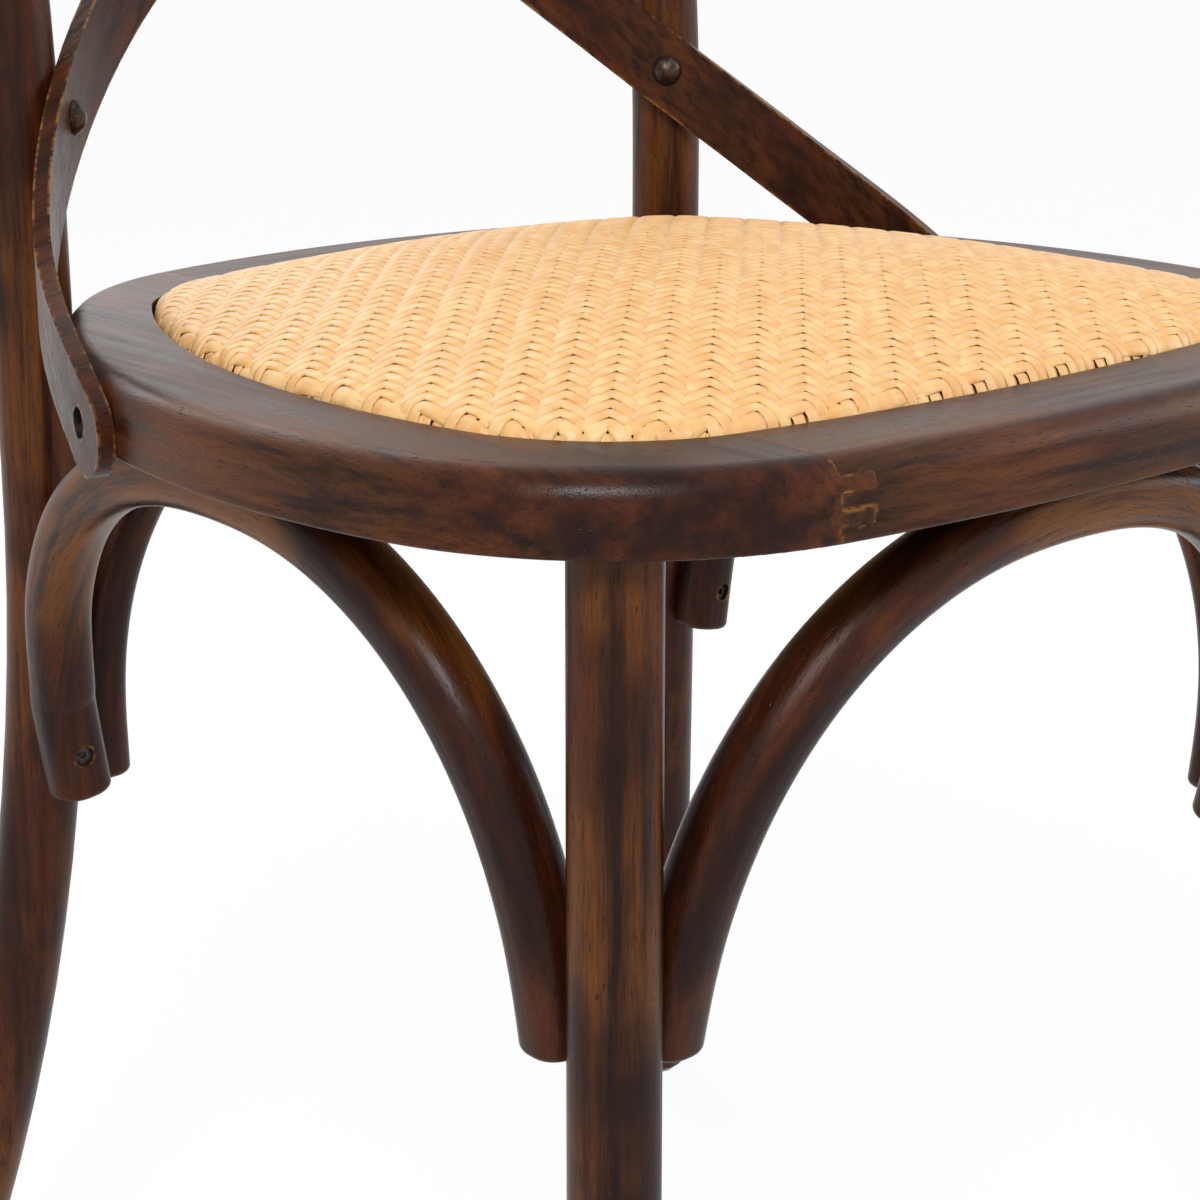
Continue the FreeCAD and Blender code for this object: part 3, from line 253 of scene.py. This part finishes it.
def stained_wood(name, grain, gold, low=0.0, high=0.001, edge=0.5, dark=0.8):
    """Dark stained beech.

    gold is how much amber shows, rising between two heights. edge is how much honey shows at
    worn edges, and dark how black the clouds of stain are.
    """
    finish, tree, shader = new_finish(name)
    place = grain(tree)
    long_way = stretched(tree, place, LONG_FIGURE)
    short_way = stretched(tree, place, SHORT_FIGURE)
    streak = noise(tree, long_way, STREAK, 5.0, 0.65)
    cloud = noise(tree, short_way, CLOUD, 3.0, 0.55)
    fleck = noise(tree, long_way, FLECK, 2.0, 0.6)
    pore = noise(tree, short_way, PORE, 1.0, 0.5)
    patch = noise(tree, place, RUB_PATCH, 2.0, 0.5)
    wear_patch = noise(tree, place, WORN_PATCH, 4.0, 0.7)
    height = object_place(tree)[2]

    colour = blended(tree, between(tree, streak, 0.34, 0.66), WALNUT, RED_BROWN)
    colour = blended(tree, between(tree, cloud, 0.62, 0.38, 0.0, dark), colour, DARK_STAIN)
    rubbed = sums(tree, "MULTIPLY", between(tree, patch, 0.4, 0.6), between(tree, streak, 0.32, 0.6))
    rubbed = sums(tree, "MULTIPLY", rubbed, between(tree, height, low, high))
    colour = blended(tree, sums(tree, "MULTIPLY", rubbed, gold), colour, AMBER)
    colour = blended(tree, between(tree, fleck, 0.5, 0.7, 0.0, 0.5), colour, DARK_STAIN)
    colour = blended(tree, between(tree, pore, 0.68, 0.74, 0.0, 0.8), colour, DARK_STAIN)

    true_way = put(tree, "NewGeometry").outputs["Normal"]
    soft_way = put(tree, "Bevel", {"Radius": EDGE_WIDTH}, samples=6).outputs[0]
    same = put(tree, "VectorMath", {0: true_way, 1: soft_way}, operation="DOT_PRODUCT")
    worn = between(tree, same.outputs["Value"], 0.985, 0.86)
    worn = sums(tree, "MULTIPLY", worn, between(tree, wear_patch, 0.46, 0.62))
    colour = blended(tree, sums(tree, "MULTIPLY", worn, edge), colour, HONEY)

    tree.links.new(colour, shader.inputs["Base Color"])
    shader.inputs["IOR"].default_value = 1.5
    shader.inputs["Specular IOR Level"].default_value = 0.15
    rough = between(tree, streak, 0.3, 0.7, 0.26, 0.4)
    tree.links.new(rough, shader.inputs["Roughness"])
    ridges = sums(tree, "MULTIPLY_ADD", fleck, 0.5, sums(tree, "MULTIPLY", streak, 0.5))
    pits = between(tree, pore, 0.66, 0.74, 0.0, -0.6)
    ridged(tree, shader, sums(tree, "ADD", ridges, pits), 0.5, RELIEF_DEPTH)
    return finish


wear(["front_leg_left", "front_leg_right"],
     stained_wood("stained beech, turned legs", up_grain, gold=0.5, edge=0.8))
wear(["seat_ring_left", "seat_ring_right"],
     stained_wood("stained beech, side rails", along_y, gold=0.35, edge=0.5))
wear(["seat_ring_front", "seat_ring_rear"],
     stained_wood("stained beech, end rails", along_x, gold=0.3, edge=0.5))
wear(["back_hoop"],
     stained_wood("stained bentwood, back hoop", arch_grain(HOOP_SPRING, HOOP_REACH, False),
                  gold=0.45, dark=0.7))
wear(["front_brace", "rear_brace"],
     stained_wood("stained bentwood, end braces", arch_grain(BRACE_SPRING, END_BRACE_REACH, False),
                  gold=1.0, low=0.33, high=0.43, edge=0.8))
wear(["side_brace_left", "side_brace_right"],
     stained_wood("stained bentwood, side braces", arch_grain(BRACE_SPRING, SIDE_BRACE_REACH, True),
                  gold=1.0, low=0.3, high=0.42, edge=0.8))
wear(["cross_strap_left"],
     stained_wood("stained bentwood, left strap", strap_grain(-1.0), gold=0.2, edge=0.6))
wear(["cross_strap_right"],
     stained_wood("stained bentwood, right strap", strap_grain(1.0), gold=0.2, edge=0.6))
print("wooden pieces finished: 13")

# %% [markdown]
# ## The hidden board, the metal and the glides
# The seat board is raw birch plywood, so its edge shows thin plies. The nails and cup bolts are
# steel with an antique brown finish, patchy and dull. The screws and barrel nuts are zinc
# plated, and those in the brace ends are dark with stain and lacquer. The glides are plain
# moulded nylon, a little dirty underneath.


# %% Plywood
PLY = 1.5 * MM


def plywood():
    """Plies as dark glue lines at every ply's height, over pale streaked birch."""
    finish, tree, shader = new_finish("birch plywood, raw")
    x, y, z = object_place(tree)
    place = stretched(tree, join(tree, x, y, z), (0.08, 1.0, 1.0))
    figure = noise(tree, place, 4 * MM, 3.0)
    colour = blended(tree, between(tree, figure, 0.3, 0.7), "#c9a673", "#b58c58")
    layer = sums(tree, "FRACT", sums(tree, "DIVIDE", z, PLY))
    colour = blended(tree, between(tree, layer, 0.86, 0.94, 0.0, 0.6), colour, "#6e4d2c")
    tree.links.new(colour, shader.inputs["Base Color"])
    shader.inputs["Roughness"].default_value = 0.7
    return finish


wear(["seat_panel"], plywood())


# %% Metals
def metal(name, base, tarnish, roughness, patch_size):
    """A metal with patches of tarnish and fine pits."""
    finish, tree, shader = new_finish(name)
    place = put(tree, "TexCoord").outputs["Object"]
    cloud = noise(tree, place, patch_size, 3.0, 0.6)
    colour = blended(tree, between(tree, cloud, 0.4, 0.62), base, tarnish)
    tree.links.new(colour, shader.inputs["Base Color"])
    shader.inputs["Metallic"].default_value = 0.85
    rough = between(tree, cloud, 0.35, 0.65, roughness, roughness + 0.18)
    tree.links.new(rough, shader.inputs["Roughness"])
    pits = noise(tree, place, 0.5 * MM, 2.0)
    ridged(tree, shader, pits, 0.3, 0.1 * MM)
    return finish


antique = metal("antiqued steel, domed nails", "#4d4038", "#2a1f1b", 0.34, 3 * MM)
zinc = metal("zinc plated steel, screws", "#a9acae", "#80838a", 0.35, 4 * MM)
dulled = metal("zinc plated steel, dulled by lacquer", "#4a4440", "#2b2624", 0.45, 3 * MM)
wear(["post_nails", "strap_top_nails", "crossing_rivet", "strap_seat_bolts"], antique)
wear(["brace_leg_screws"], dulled)
wear(["hoop_bolts", "hoop_barrel_nuts", "brace_seat_screws", "seat_panel_screws",
      "glide_pins"], zinc)


# %% Nylon glides
def nylon():
    """Moulded nylon: off white, dirtier towards the floor, with fine scuffs."""
    finish, tree, shader = new_finish("moulded nylon, glides")
    place = put(tree, "TexCoord").outputs["Object"]
    height = object_place(tree)[2]
    scuffs = noise(tree, place, 1.2 * MM, 4.0, 0.7)
    low_down = between(tree, height, 3 * MM, 0.0)
    grime = sums(tree, "MULTIPLY", low_down, between(tree, scuffs, 0.4, 0.7))
    colour = blended(tree, grime, "#cfc6b8", "#7d7468")
    tree.links.new(colour, shader.inputs["Base Color"])
    shader.inputs["Roughness"].default_value = 0.5
    ridged(tree, shader, scuffs, 0.15, 0.1 * MM)
    return finish


wear(["front_glide_left", "front_glide_right", "rear_glide_left", "rear_glide_right"], nylon())
print("board, metal and glides finished")

# %% [markdown]
# ## The outline and the crown of the seat
# The mat fills the opening of the seat ring, so its outline is the opening's, moved in a
# little: flat arcs at the front, sides and back, joined by tighter corners. In polar form about
# the seat's middle the outline is one radius for each angle. The crown rises as one minus a
# power of the share of the way out, so it is nearly flat in the middle, and it rolls down at
# the rim. Sizes of the seat are in millimetres.

# %% The seat's outline in polar form
RING_FRONT = -233.5
RING_DEPTH = 427.0
WIDEST_AT = 172.0
BAND = 42.0
OPENING_HALF = 379.0 / 2
ARCS = {"front": 906.0 - BAND, "side": 322.0, "rear": 377.0 - BAND}
CORNERS = {"front": 72.0, "rear": 50.0}
INSET = 1.6
SEAT_MIDDLE = np.array([0.0, RING_FRONT + RING_DEPTH / 2])


def corner_centre(first, second, radius):
    """Where two arcs, each drawn in by the corner's radius, meet on the right."""
    (p, a), (q, b) = first, second
    p, q, a, b = np.array(p), np.array(q), a - radius, b - radius
    gap = np.linalg.norm(q - p)
    along = (a * a - b * b + gap * gap) / (2 * gap)
    off = math.sqrt(a * a - along * along)
    way = (q - p) / gap
    both = [p + way * along + s * off * np.array([-way[1], way[0]]) for s in (1, -1)]
    return max(both, key=lambda c: c[0])


front_arc = ((0.0, RING_FRONT + BAND + ARCS["front"]), ARCS["front"])
side_arc = ((OPENING_HALF - ARCS["side"], RING_FRONT + WIDEST_AT), ARCS["side"])
rear_arc = ((0.0, RING_FRONT + RING_DEPTH - BAND - ARCS["rear"]), ARCS["rear"])
corner_front = corner_centre(front_arc, side_arc, CORNERS["front"])
corner_rear = corner_centre(side_arc, rear_arc, CORNERS["rear"])


def swept(centre, radius, start, end, count=60):
    """Points on an arc about a centre, from the angle of one point to that of another."""
    centre = np.array(centre)
    first, last = (math.atan2(*(np.array(p) - centre)[::-1]) for p in (start, end))
    turn = np.linspace(first, last, count)
    return centre + (radius - INSET) * np.stack([np.cos(turn), np.sin(turn)], 1)


def beyond(centre, corner):
    """The corner centre, seen from an arc's centre: the way to where the two arcs touch."""
    return np.array(corner) * 2 - np.array(centre)


# where the arcs touch, and a point ahead of and behind the seat on its middle line
touches = [
    (0.0, RING_FRONT - 1),
    beyond(front_arc[0], corner_front),
    beyond(side_arc[0], corner_front),
    beyond(side_arc[0], corner_rear),
    beyond(rear_arc[0], corner_rear),
    (0.0, RING_FRONT + RING_DEPTH + 1),
]
arcs = [front_arc, (corner_front, CORNERS["front"]), side_arc, (corner_rear, CORNERS["rear"]), rear_arc]
right_half = np.concatenate([
    swept(*arc, start, end) for arc, start, end in zip(arcs, touches, touches[1:])
])
outline = np.concatenate([right_half, right_half[::-1] * [-1, 1]])
outline_turn = np.arctan2(*(outline - SEAT_MIDDLE).T[::-1])
order = np.argsort(outline_turn)
outline_turn = outline_turn[order]
outline_radius = np.linalg.norm(outline - SEAT_MIDDLE, axis=1)[order]
print("mat outline:", outline.min(0).round(1), "to", outline.max(0).round(1))


# %% The crown
SEAT_TOP = 463.0
CROWN = 24.0
CROWN_POWER = 2.6
RIM_SWELL = 3.5
SWELL_POWER = 8
ROLL = 6.0
NORMAL_STEP = 0.5
TINY = 1e-9


def crowned(x, y, drop=0.0, inset=0.0):
    """Lays flat points over the pad. r is the distance from the middle and R the outline's.

    Inside the outline the height is the seat's top plus the crown times 1 - (r / R) ^ 2.6.
    Near the rim a swell of (r / R) ^ 8 lifts it and a quarter circle rolls it down. Past the
    outline the point stays at the rim and hangs down by as much as it is past.
    """
    dx, dy = x - SEAT_MIDDLE[0], y - SEAT_MIDDLE[1]
    r = np.hypot(dx, dy) + TINY
    rim = np.interp(np.arctan2(dy, dx), outline_turn, outline_radius, period=2 * np.pi) - inset
    share = np.minimum(r / rim, 1.0)
    past = np.maximum(r - rim, 0.0)
    keep = np.minimum(r, rim) / r
    inward = np.clip(ROLL - (rim - np.minimum(r, rim)), 0, ROLL)
    roll = ROLL - np.sqrt(ROLL**2 - inward**2)
    swell = RIM_SWELL * share**SWELL_POWER
    height = SEAT_TOP + CROWN * (1 - share**CROWN_POWER) + swell - roll - past - drop
    return np.stack([SEAT_MIDDLE[0] + dx * keep, SEAT_MIDDLE[1] + dy * keep, height], -1)


def mat_normal(x, y):
    """The way out of the crowned surface: the cross product of two small steps along it."""
    ahead = crowned(x + NORMAL_STEP, y) - crowned(x - NORMAL_STEP, y)
    aside = crowned(x, y + NORMAL_STEP) - crowned(x, y - NORMAL_STEP)
    way = np.cross(ahead, aside)
    return way / (np.linalg.norm(way, axis=-1, keepdims=True) + TINY)


print("pad top:", crowned(np.array([0.0]), np.array([SEAT_MIDDLE[1]]))[0].round(1))

# %% [markdown]
# ## The woven strips
# The mat is a twill: each strip of peeled rattan passes over two others and under two, and
# every next strip starts one place on, which draws slanting ribs across the seat. Strips run
# side to side and front to back, 5 mm apart. Each is its own ribbon with a slightly domed
# face, lifted and sunk along the crowned surface by a squared-off wave four strips long. A
# bump map could not show the dark corners where strips dive, so the strips are real shapes.

# %% Weave the mat
PITCH = 5.0
STRIP_HALF = 2.22
STRIP_THICK = 0.5
WAVE = 0.45
# a wave is four strips long, and is clipped to stay flat on top
WAVE_STRIPS = 4
WAVE_GAIN = 2.3
# how far a strip's ends go down past the rim, and how far apart its points are
TUCK = 5.0
SAMPLE = 1.7
# a strip wanders by a few slow waves, this much each
WANDER = 0.12
WANDER_WAVES = 6
# each strip takes its colour from its own stretch of the pattern
OWN_STRETCH = 500
MAT_SLACK = 0.1
chance = np.random.default_rng(7)
# the ribbon's section: across from -1 to 1, and height, counterclockwise seen from its end
SECTION = np.array([[-1.0, -0.5], [1.0, -0.5], [0.96, 0.3], [0.35, 0.52], [-0.35, 0.52], [-0.96, 0.3]])


def new_piece(name, spots, faces, finish):
    """A smooth object at the origin, from points in millimetres, their faces and a finish."""
    mesh = bpy.data.meshes.new(name)
    mesh.from_pydata(spots * MM, [], faces)
    mesh.update()
    mesh.polygons.foreach_set("use_smooth", [True] * len(mesh.polygons))
    mesh.materials.append(finish)
    piece = bpy.data.objects.new(name, mesh)
    bpy.context.scene.collection.objects.link(piece)
    return piece


def ribbon_mesh(name, x, y, lift, tone, run, finish):
    """One object from many ribbons.

    x, y and lift have the shape strips, samples, section. A flat point goes onto the crowned
    surface and then out along its normal by the lift.
    """
    spots = crowned(x, y, drop=WAVE + STRIP_THICK / 2 + MAT_SLACK)
    spots = spots + mat_normal(x, y) * lift[..., None]
    strips, samples, ring = x.shape
    index = np.arange(strips * samples * ring).reshape(strips, samples, ring)
    a, b = index[:, :-1, :], index[:, 1:, :]
    sides = np.stack([a, np.roll(a, -1, 2), np.roll(b, -1, 2), b], -1).reshape(-1, 4)
    caps = [tuple(row[::-1]) for row in index[:, 0, :]] + [tuple(row) for row in index[:, -1, :]]
    piece = new_piece(name, spots.reshape(-1, 3), [tuple(q) for q in sides] + caps, finish)
    mesh = piece.data
    shade = mesh.attributes.new("strip_tone", "FLOAT", "POINT")
    shade.data.foreach_set("value", np.broadcast_to(tone[:, None, None], x.shape).ravel())
    face_run = np.broadcast_to(run, x.shape).ravel()
    across = np.broadcast_to(SECTION[:, 0] * STRIP_HALF, x.shape).ravel()
    corner = np.zeros(len(mesh.loops), int)
    mesh.loops.foreach_get("vertex_index", corner)
    layer = mesh.uv_layers.new(name="along_strip")
    pairs = np.stack([face_run[corner], across[corner]], 1) * MM
    layer.data.foreach_set("uv", pairs.ravel())
    return piece


def weave(name, across_seat, finish):
    """All strips of one direction, cut to the outline with a tuck at each end."""
    low, high = outline.min(0), outline.max(0)
    if across_seat:
        low, high = low[::-1], high[::-1]
    first = math.ceil((low[0] + 1) / PITCH)
    places = np.arange(first, math.floor((high[0] - 1) / PITCH) + 1)
    count = int((high[1] - low[1] + 2 * TUCK) / SAMPLE)
    fixed = places * PITCH
    ends = strip_ends(fixed, across_seat)
    share = np.linspace(0.0, 1.0, count)
    run = ends[:, :1] - TUCK + share * (ends[:, 1:] - ends[:, :1] + 2 * TUCK)
    # every strip starts one place on, and the two directions are half a wave apart
    start = places + (0.5 if across_seat else -1.5)
    phase = 2 * np.pi * (run / PITCH - start[:, None]) / WAVE_STRIPS
    wave = np.clip(WAVE_GAIN * np.cos(phase), -1, 1) * WAVE
    wobble = chance.normal(0, WANDER, (len(places), WANDER_WAVES))
    turns = np.arange(1, WANDER_WAVES + 1) * share[:, None] * np.pi
    drift = (wobble[:, None, :] * np.sin(turns)).sum(-1)
    side = fixed[:, None] + drift
    # the section is turned for one direction, so that all faces look outward
    flat_side = side[..., None] + SECTION[:, 0] * STRIP_HALF * (-1 if across_seat else 1)
    flat_run = np.broadcast_to(run[..., None], flat_side.shape)
    lift = wave[..., None] + SECTION[:, 1] * STRIP_THICK
    x, y = (flat_run, flat_side) if across_seat else (flat_side, flat_run)
    tone = chance.random(len(places))
    own_run = run[..., None] + OWN_STRETCH * places[:, None, None]
    piece = ribbon_mesh(name, x, y, lift, tone, own_run, finish)
    print(name, "strips:", len(places), "faces:", len(piece.data.polygons))
    return piece


def strip_ends(fixed, across_seat):
    """Where each strip's centre line meets the outline."""
    if across_seat:
        reach = np.interp(fixed, right_half[:, 1], right_half[:, 0])
        return np.stack([-reach, reach], 1)
    widest = right_half[:, 0].argmax()
    front, rear = right_half[: widest + 1], right_half[widest:][::-1]
    low = np.interp(np.abs(fixed), front[:, 0], front[:, 1])
    high = np.interp(np.abs(fixed), rear[:, 0], rear[:, 1])
    return np.stack([low, high], 1)


# %% [markdown]
# ## Peeled rattan
# The strips are the inner core of the cane, peeled flat and left blond under a thin clear coat.
# They run from straw to orange tan, with darker fibre lines along them and a brown stain here
# and there. The colour therefore follows each strip's own length, through its texture
# coordinates, and each strip has its own tone. Fibres are about 0.3 mm wide.


# %% Peeled rattan
FIBRE = 0.35 * MM


def rattan():
    """Straw and tan lengths, fine brown fibres, and darker and paler stains."""
    finish, tree, shader = new_finish("peeled rattan strips, clear coated")
    strip = put(tree, "UVMap", uv_map="along_strip").outputs[0]
    tone = put(tree, "Attribute", attribute_name="strip_tone").outputs["Fac"]
    fibre = noise(tree, stretched(tree, strip, (0.05, 1.0, 1.0)), FIBRE, 3.0, 0.6)
    lengths = stretched(tree, strip, (1.0, 0.35, 1.0))
    length = noise(tree, lengths, 9 * MM, 2.0, 0.5)
    stain = noise(tree, lengths, 5 * MM, 3.0, 0.6)
    mixed = sums(tree, "MULTIPLY_ADD", sums(tree, "SUBTRACT", tone, 0.5), 0.07, length)
    colour = blended(tree, between(tree, mixed, 0.36, 0.64), "#f0c588", "#e5ac68")
    colour = blended(tree, between(tree, fibre, 0.5, 0.75, 0.0, 0.35), colour, "#c98a48")
    colour = blended(tree, between(tree, stain, 0.64, 0.76, 0.0, 0.6), colour, "#c07a3a")
    colour = blended(tree, between(tree, stain, 0.3, 0.22, 0.0, 0.6), colour, "#f8dcab")
    tree.links.new(colour, shader.inputs["Base Color"])
    shader.inputs["Roughness"].default_value = 0.42
    shader.inputs["IOR"].default_value = 1.5
    ridged(tree, shader, fibre, 0.5, 0.12 * MM)
    return finish


rattan_finish = rattan()
side_strips = weave("rattan_strips_side_to_side", True, rattan_finish)
long_strips = weave("rattan_strips_front_to_back", False, rattan_finish)
for piece in (side_strips, long_strips):
    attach(piece, "root")
    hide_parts("woven_rattan_seat")

# %% [markdown]
# ## The pad under the mat
# A foam pad fills the mat from the plywood up. It is one crowned closed form on a polar grid:
# rings of points that shrink towards the middle on top and underneath. A brown sheet between
# foam and mat is painted shade: it makes the small gaps in the weave look dark, where on the chair
# there is only shade.


# %% Crowned pads
RINGS, SPOKES = 40, 160


def pad_piece(name, drop, inset, base, finish, thickness=None):
    """A crowned pad: the top is the crown lowered by a drop, and the underside is flat.

    With a thickness the underside follows the top, that much lower.
    """
    turn = np.linspace(0, 2 * np.pi, SPOKES, endpoint=False)
    radius = np.interp(turn, outline_turn, outline_radius, period=2 * np.pi) - inset
    share = np.sin(np.linspace(0.02, 1.0, RINGS) * np.pi / 2)
    x = SEAT_MIDDLE[0] + share[:, None] * radius * np.cos(turn)
    y = SEAT_MIDDLE[1] + share[:, None] * radius * np.sin(turn)
    top = crowned(x, y, drop, inset)
    under = top.copy()
    under[..., 2] = base if thickness is None else np.maximum(top[..., 2] - thickness, base)
    spots = np.concatenate([top, under[::-1]]).reshape(-1, 3)
    index = np.arange(2 * RINGS * SPOKES).reshape(2 * RINGS, SPOKES)
    a, b = index[:-1], index[1:]
    sides = np.stack([a, b, np.roll(b, -1, 1), np.roll(a, -1, 1)], -1).reshape(-1, 4)
    poles = [*SEAT_MIDDLE, SEAT_TOP + CROWN - drop], [*SEAT_MIDDLE, under[0, 0, 2]]
    spots = np.concatenate([spots, np.array(poles)])
    top_pole, low_pole = len(spots) - 2, len(spots) - 1
    caps = [(top_pole, int(p), int(q)) for p, q in zip(index[0], np.roll(index[0], -1))]
    caps += [(low_pole, int(q), int(p)) for p, q in zip(index[-1], np.roll(index[-1], -1))]
    piece = new_piece(name, spots, [tuple(q) for q in sides] + caps, finish)
    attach(piece, "root")
    return piece


FOAM_CELL = 1.0 * MM
THREAD_GAP = 1.0 * MM


def foam():
    """Cut polyurethane foam: cream, matt, with open cells about 1 mm across."""
    finish, tree, shader = new_finish("cut foam, open cells")
    place = put(tree, "TexCoord").outputs["Object"]
    cells = put(tree, "TexVoronoi", {"Vector": place, "Scale": 1 / FOAM_CELL}).outputs["Distance"]
    colour = blended(tree, between(tree, cells, 0.2, 0.7), "#e8dcae", "#cdb981")
    tree.links.new(colour, shader.inputs["Base Color"])
    shader.inputs["Roughness"].default_value = 0.95
    ridged(tree, shader, cells, 0.6, 0.4 * MM)
    return finish


def painted_shade_sheet():
    """A brown sheet with a woven thread pattern, drawn at 1 mm between threads so that it shows. It is
    painted shade: under the weave it darkens the gaps, where there is only shade.
    """
    finish, tree, shader = new_finish("painted shade under the weave, brown sheet")
    x, y, z = object_place(tree)
    warp, weft = (
        sums(tree, "SINE", sums(tree, "MULTIPLY", way, math.tau / THREAD_GAP)) for way in (x, y)
    )
    threads = sums(tree, "MULTIPLY", warp, weft)
    colour = blended(tree, between(tree, threads, -0.6, 0.6), "#4a3018", "#6b4a28")
    tree.links.new(colour, shader.inputs["Base Color"])
    shader.inputs["Roughness"].default_value = 0.9
    ridged(tree, shader, threads, 0.5, 0.2 * MM)
    return finish


foam_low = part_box("seat_foam")[0].z / MM
seat_pad = pad_piece("foam_seat_pad", 3.0, 3.0, foam_low, foam())
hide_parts("seat_foam")
# painted shade: a dark brown sheet between foam and mat, so that the gaps in the weave look dark
seat_shade_sheet = pad_piece("seat_gap_shade_sheet", 1.5, 1.3, foam_low, painted_shade_sheet(), thickness=1.0)
print("foam from", round(foam_low, 1), "mm")

# %% [markdown]
# ## Floor, light and camera
# The photograph is a studio shot on white. The floor is white and matt, and to the camera and
# in reflections it glows a little, so that it reads as paper white and still holds a shadow.
# A soft box stands above the camera, and larger ones fill from the right and from behind, so
# the lacquer shows long soft highlights. The camera stands where the picture was taken: low,
# near the left front corner, with a long lens.


# %% Floor and backdrop
FLOOR_HALF = 30.0
FLOOR_GLOW = 0.94
SKY_LIGHT = 0.55


def seen_directly(tree):
    """1 for camera, glossy and clear rays, and 0 for the rays that light the chair."""
    path = put(tree, "LightPath").outputs
    seen = sums(tree, "MAXIMUM", path["Is Camera Ray"], path["Is Glossy Ray"])
    return sums(tree, "MAXIMUM", seen, path["Is Transmission Ray"])


def paper():
    """White card. Camera, glossy and clear rays see it mostly as plain white."""
    finish, tree, shader = new_finish("white studio card")
    shader.inputs["Base Color"].default_value = linear("#fafafa")
    shader.inputs["Roughness"].default_value = 0.9
    shader.inputs["Specular IOR Level"].default_value = 0.0
    glow = put(tree, "Emission", {"Color": (1, 1, 1, 1), "Strength": 1.0})
    share = sums(tree, "MULTIPLY", seen_directly(tree), FLOOR_GLOW)
    both = put(tree, "MixShader", {0: share, 1: shader.outputs[0], 2: glow.outputs[0]})
    tree.links.new(both.outputs[0], tree.nodes["Material Output"].inputs[0])
    return finish


corners = np.array([[-1, -1, 0], [1, -1, 0], [1, 1, 0], [-1, 1, 0]]) * FLOOR_HALF
floor_mesh = bpy.data.meshes.new("studio_floor")
floor_mesh.from_pydata(corners, [], [(0, 1, 2, 3)])
floor_mesh.materials.append(paper())
floor = bpy.data.objects.new("studio_floor", floor_mesh)
bpy.context.scene.collection.objects.link(floor)

world = bpy.data.worlds.new("studio")
world.use_nodes = True
bpy.context.scene.world = world
sky = world.node_tree
sky.nodes.clear()
strength = between(sky, seen_directly(sky), 0.0, 1.0, SKY_LIGHT, 1.0)
glow = put(sky, "Background", {"Color": (1, 1, 1, 1), "Strength": strength})
put(sky, "OutputWorld", {0: glow.outputs[0]})


# %% Soft boxes
def soft_box(name, spot, aim, size, power):
    """A square area lamp at a spot, turned to its aim."""
    lamp = bpy.data.lights.new(name, "AREA")
    lamp.size = size
    lamp.energy = power
    box = bpy.data.objects.new(name, lamp)
    box.location = spot
    box.rotation_euler = (Vector(aim) - Vector(spot)).to_track_quat("-Z", "Y").to_euler()
    bpy.context.scene.collection.objects.link(box)


soft_box("key_box", (-1.3, -1.2, 2.0), (0, 0, 0.4), 0.55, 34)
soft_box("fill_box", (1.9, -1.1, 1.2), (0, 0, 0.4), 1.2, 14)
soft_box("rear_box", (0.4, 2.0, 1.9), (0, 0, 0.45), 1.4, 22)

# %% Camera
# the picture's width and the lens's focal length, both in the picture's pixels
PICTURE = 1200
FOCAL = 2600
camera_spot = Vector((-0.640, -0.7083, 0.631))
heading, pitch = math.radians(48.70), math.radians(-16.54)
level = math.cos(pitch)
gaze = Vector((math.cos(heading) * level, math.sin(heading) * level, math.sin(pitch)))
lens = bpy.data.cameras.new("camera")
lens.sensor_width = 36.0
lens.lens = FOCAL / PICTURE * lens.sensor_width
camera = bpy.data.objects.new("camera", lens)
camera.location = camera_spot
camera.rotation_euler = gaze.to_track_quat("-Z", "Y").to_euler()
bpy.context.scene.collection.objects.link(camera)
bpy.context.scene.camera = camera
bpy.context.scene.view_settings.view_transform = "Standard"
print("camera looks along", [round(v, 3) for v in gaze])
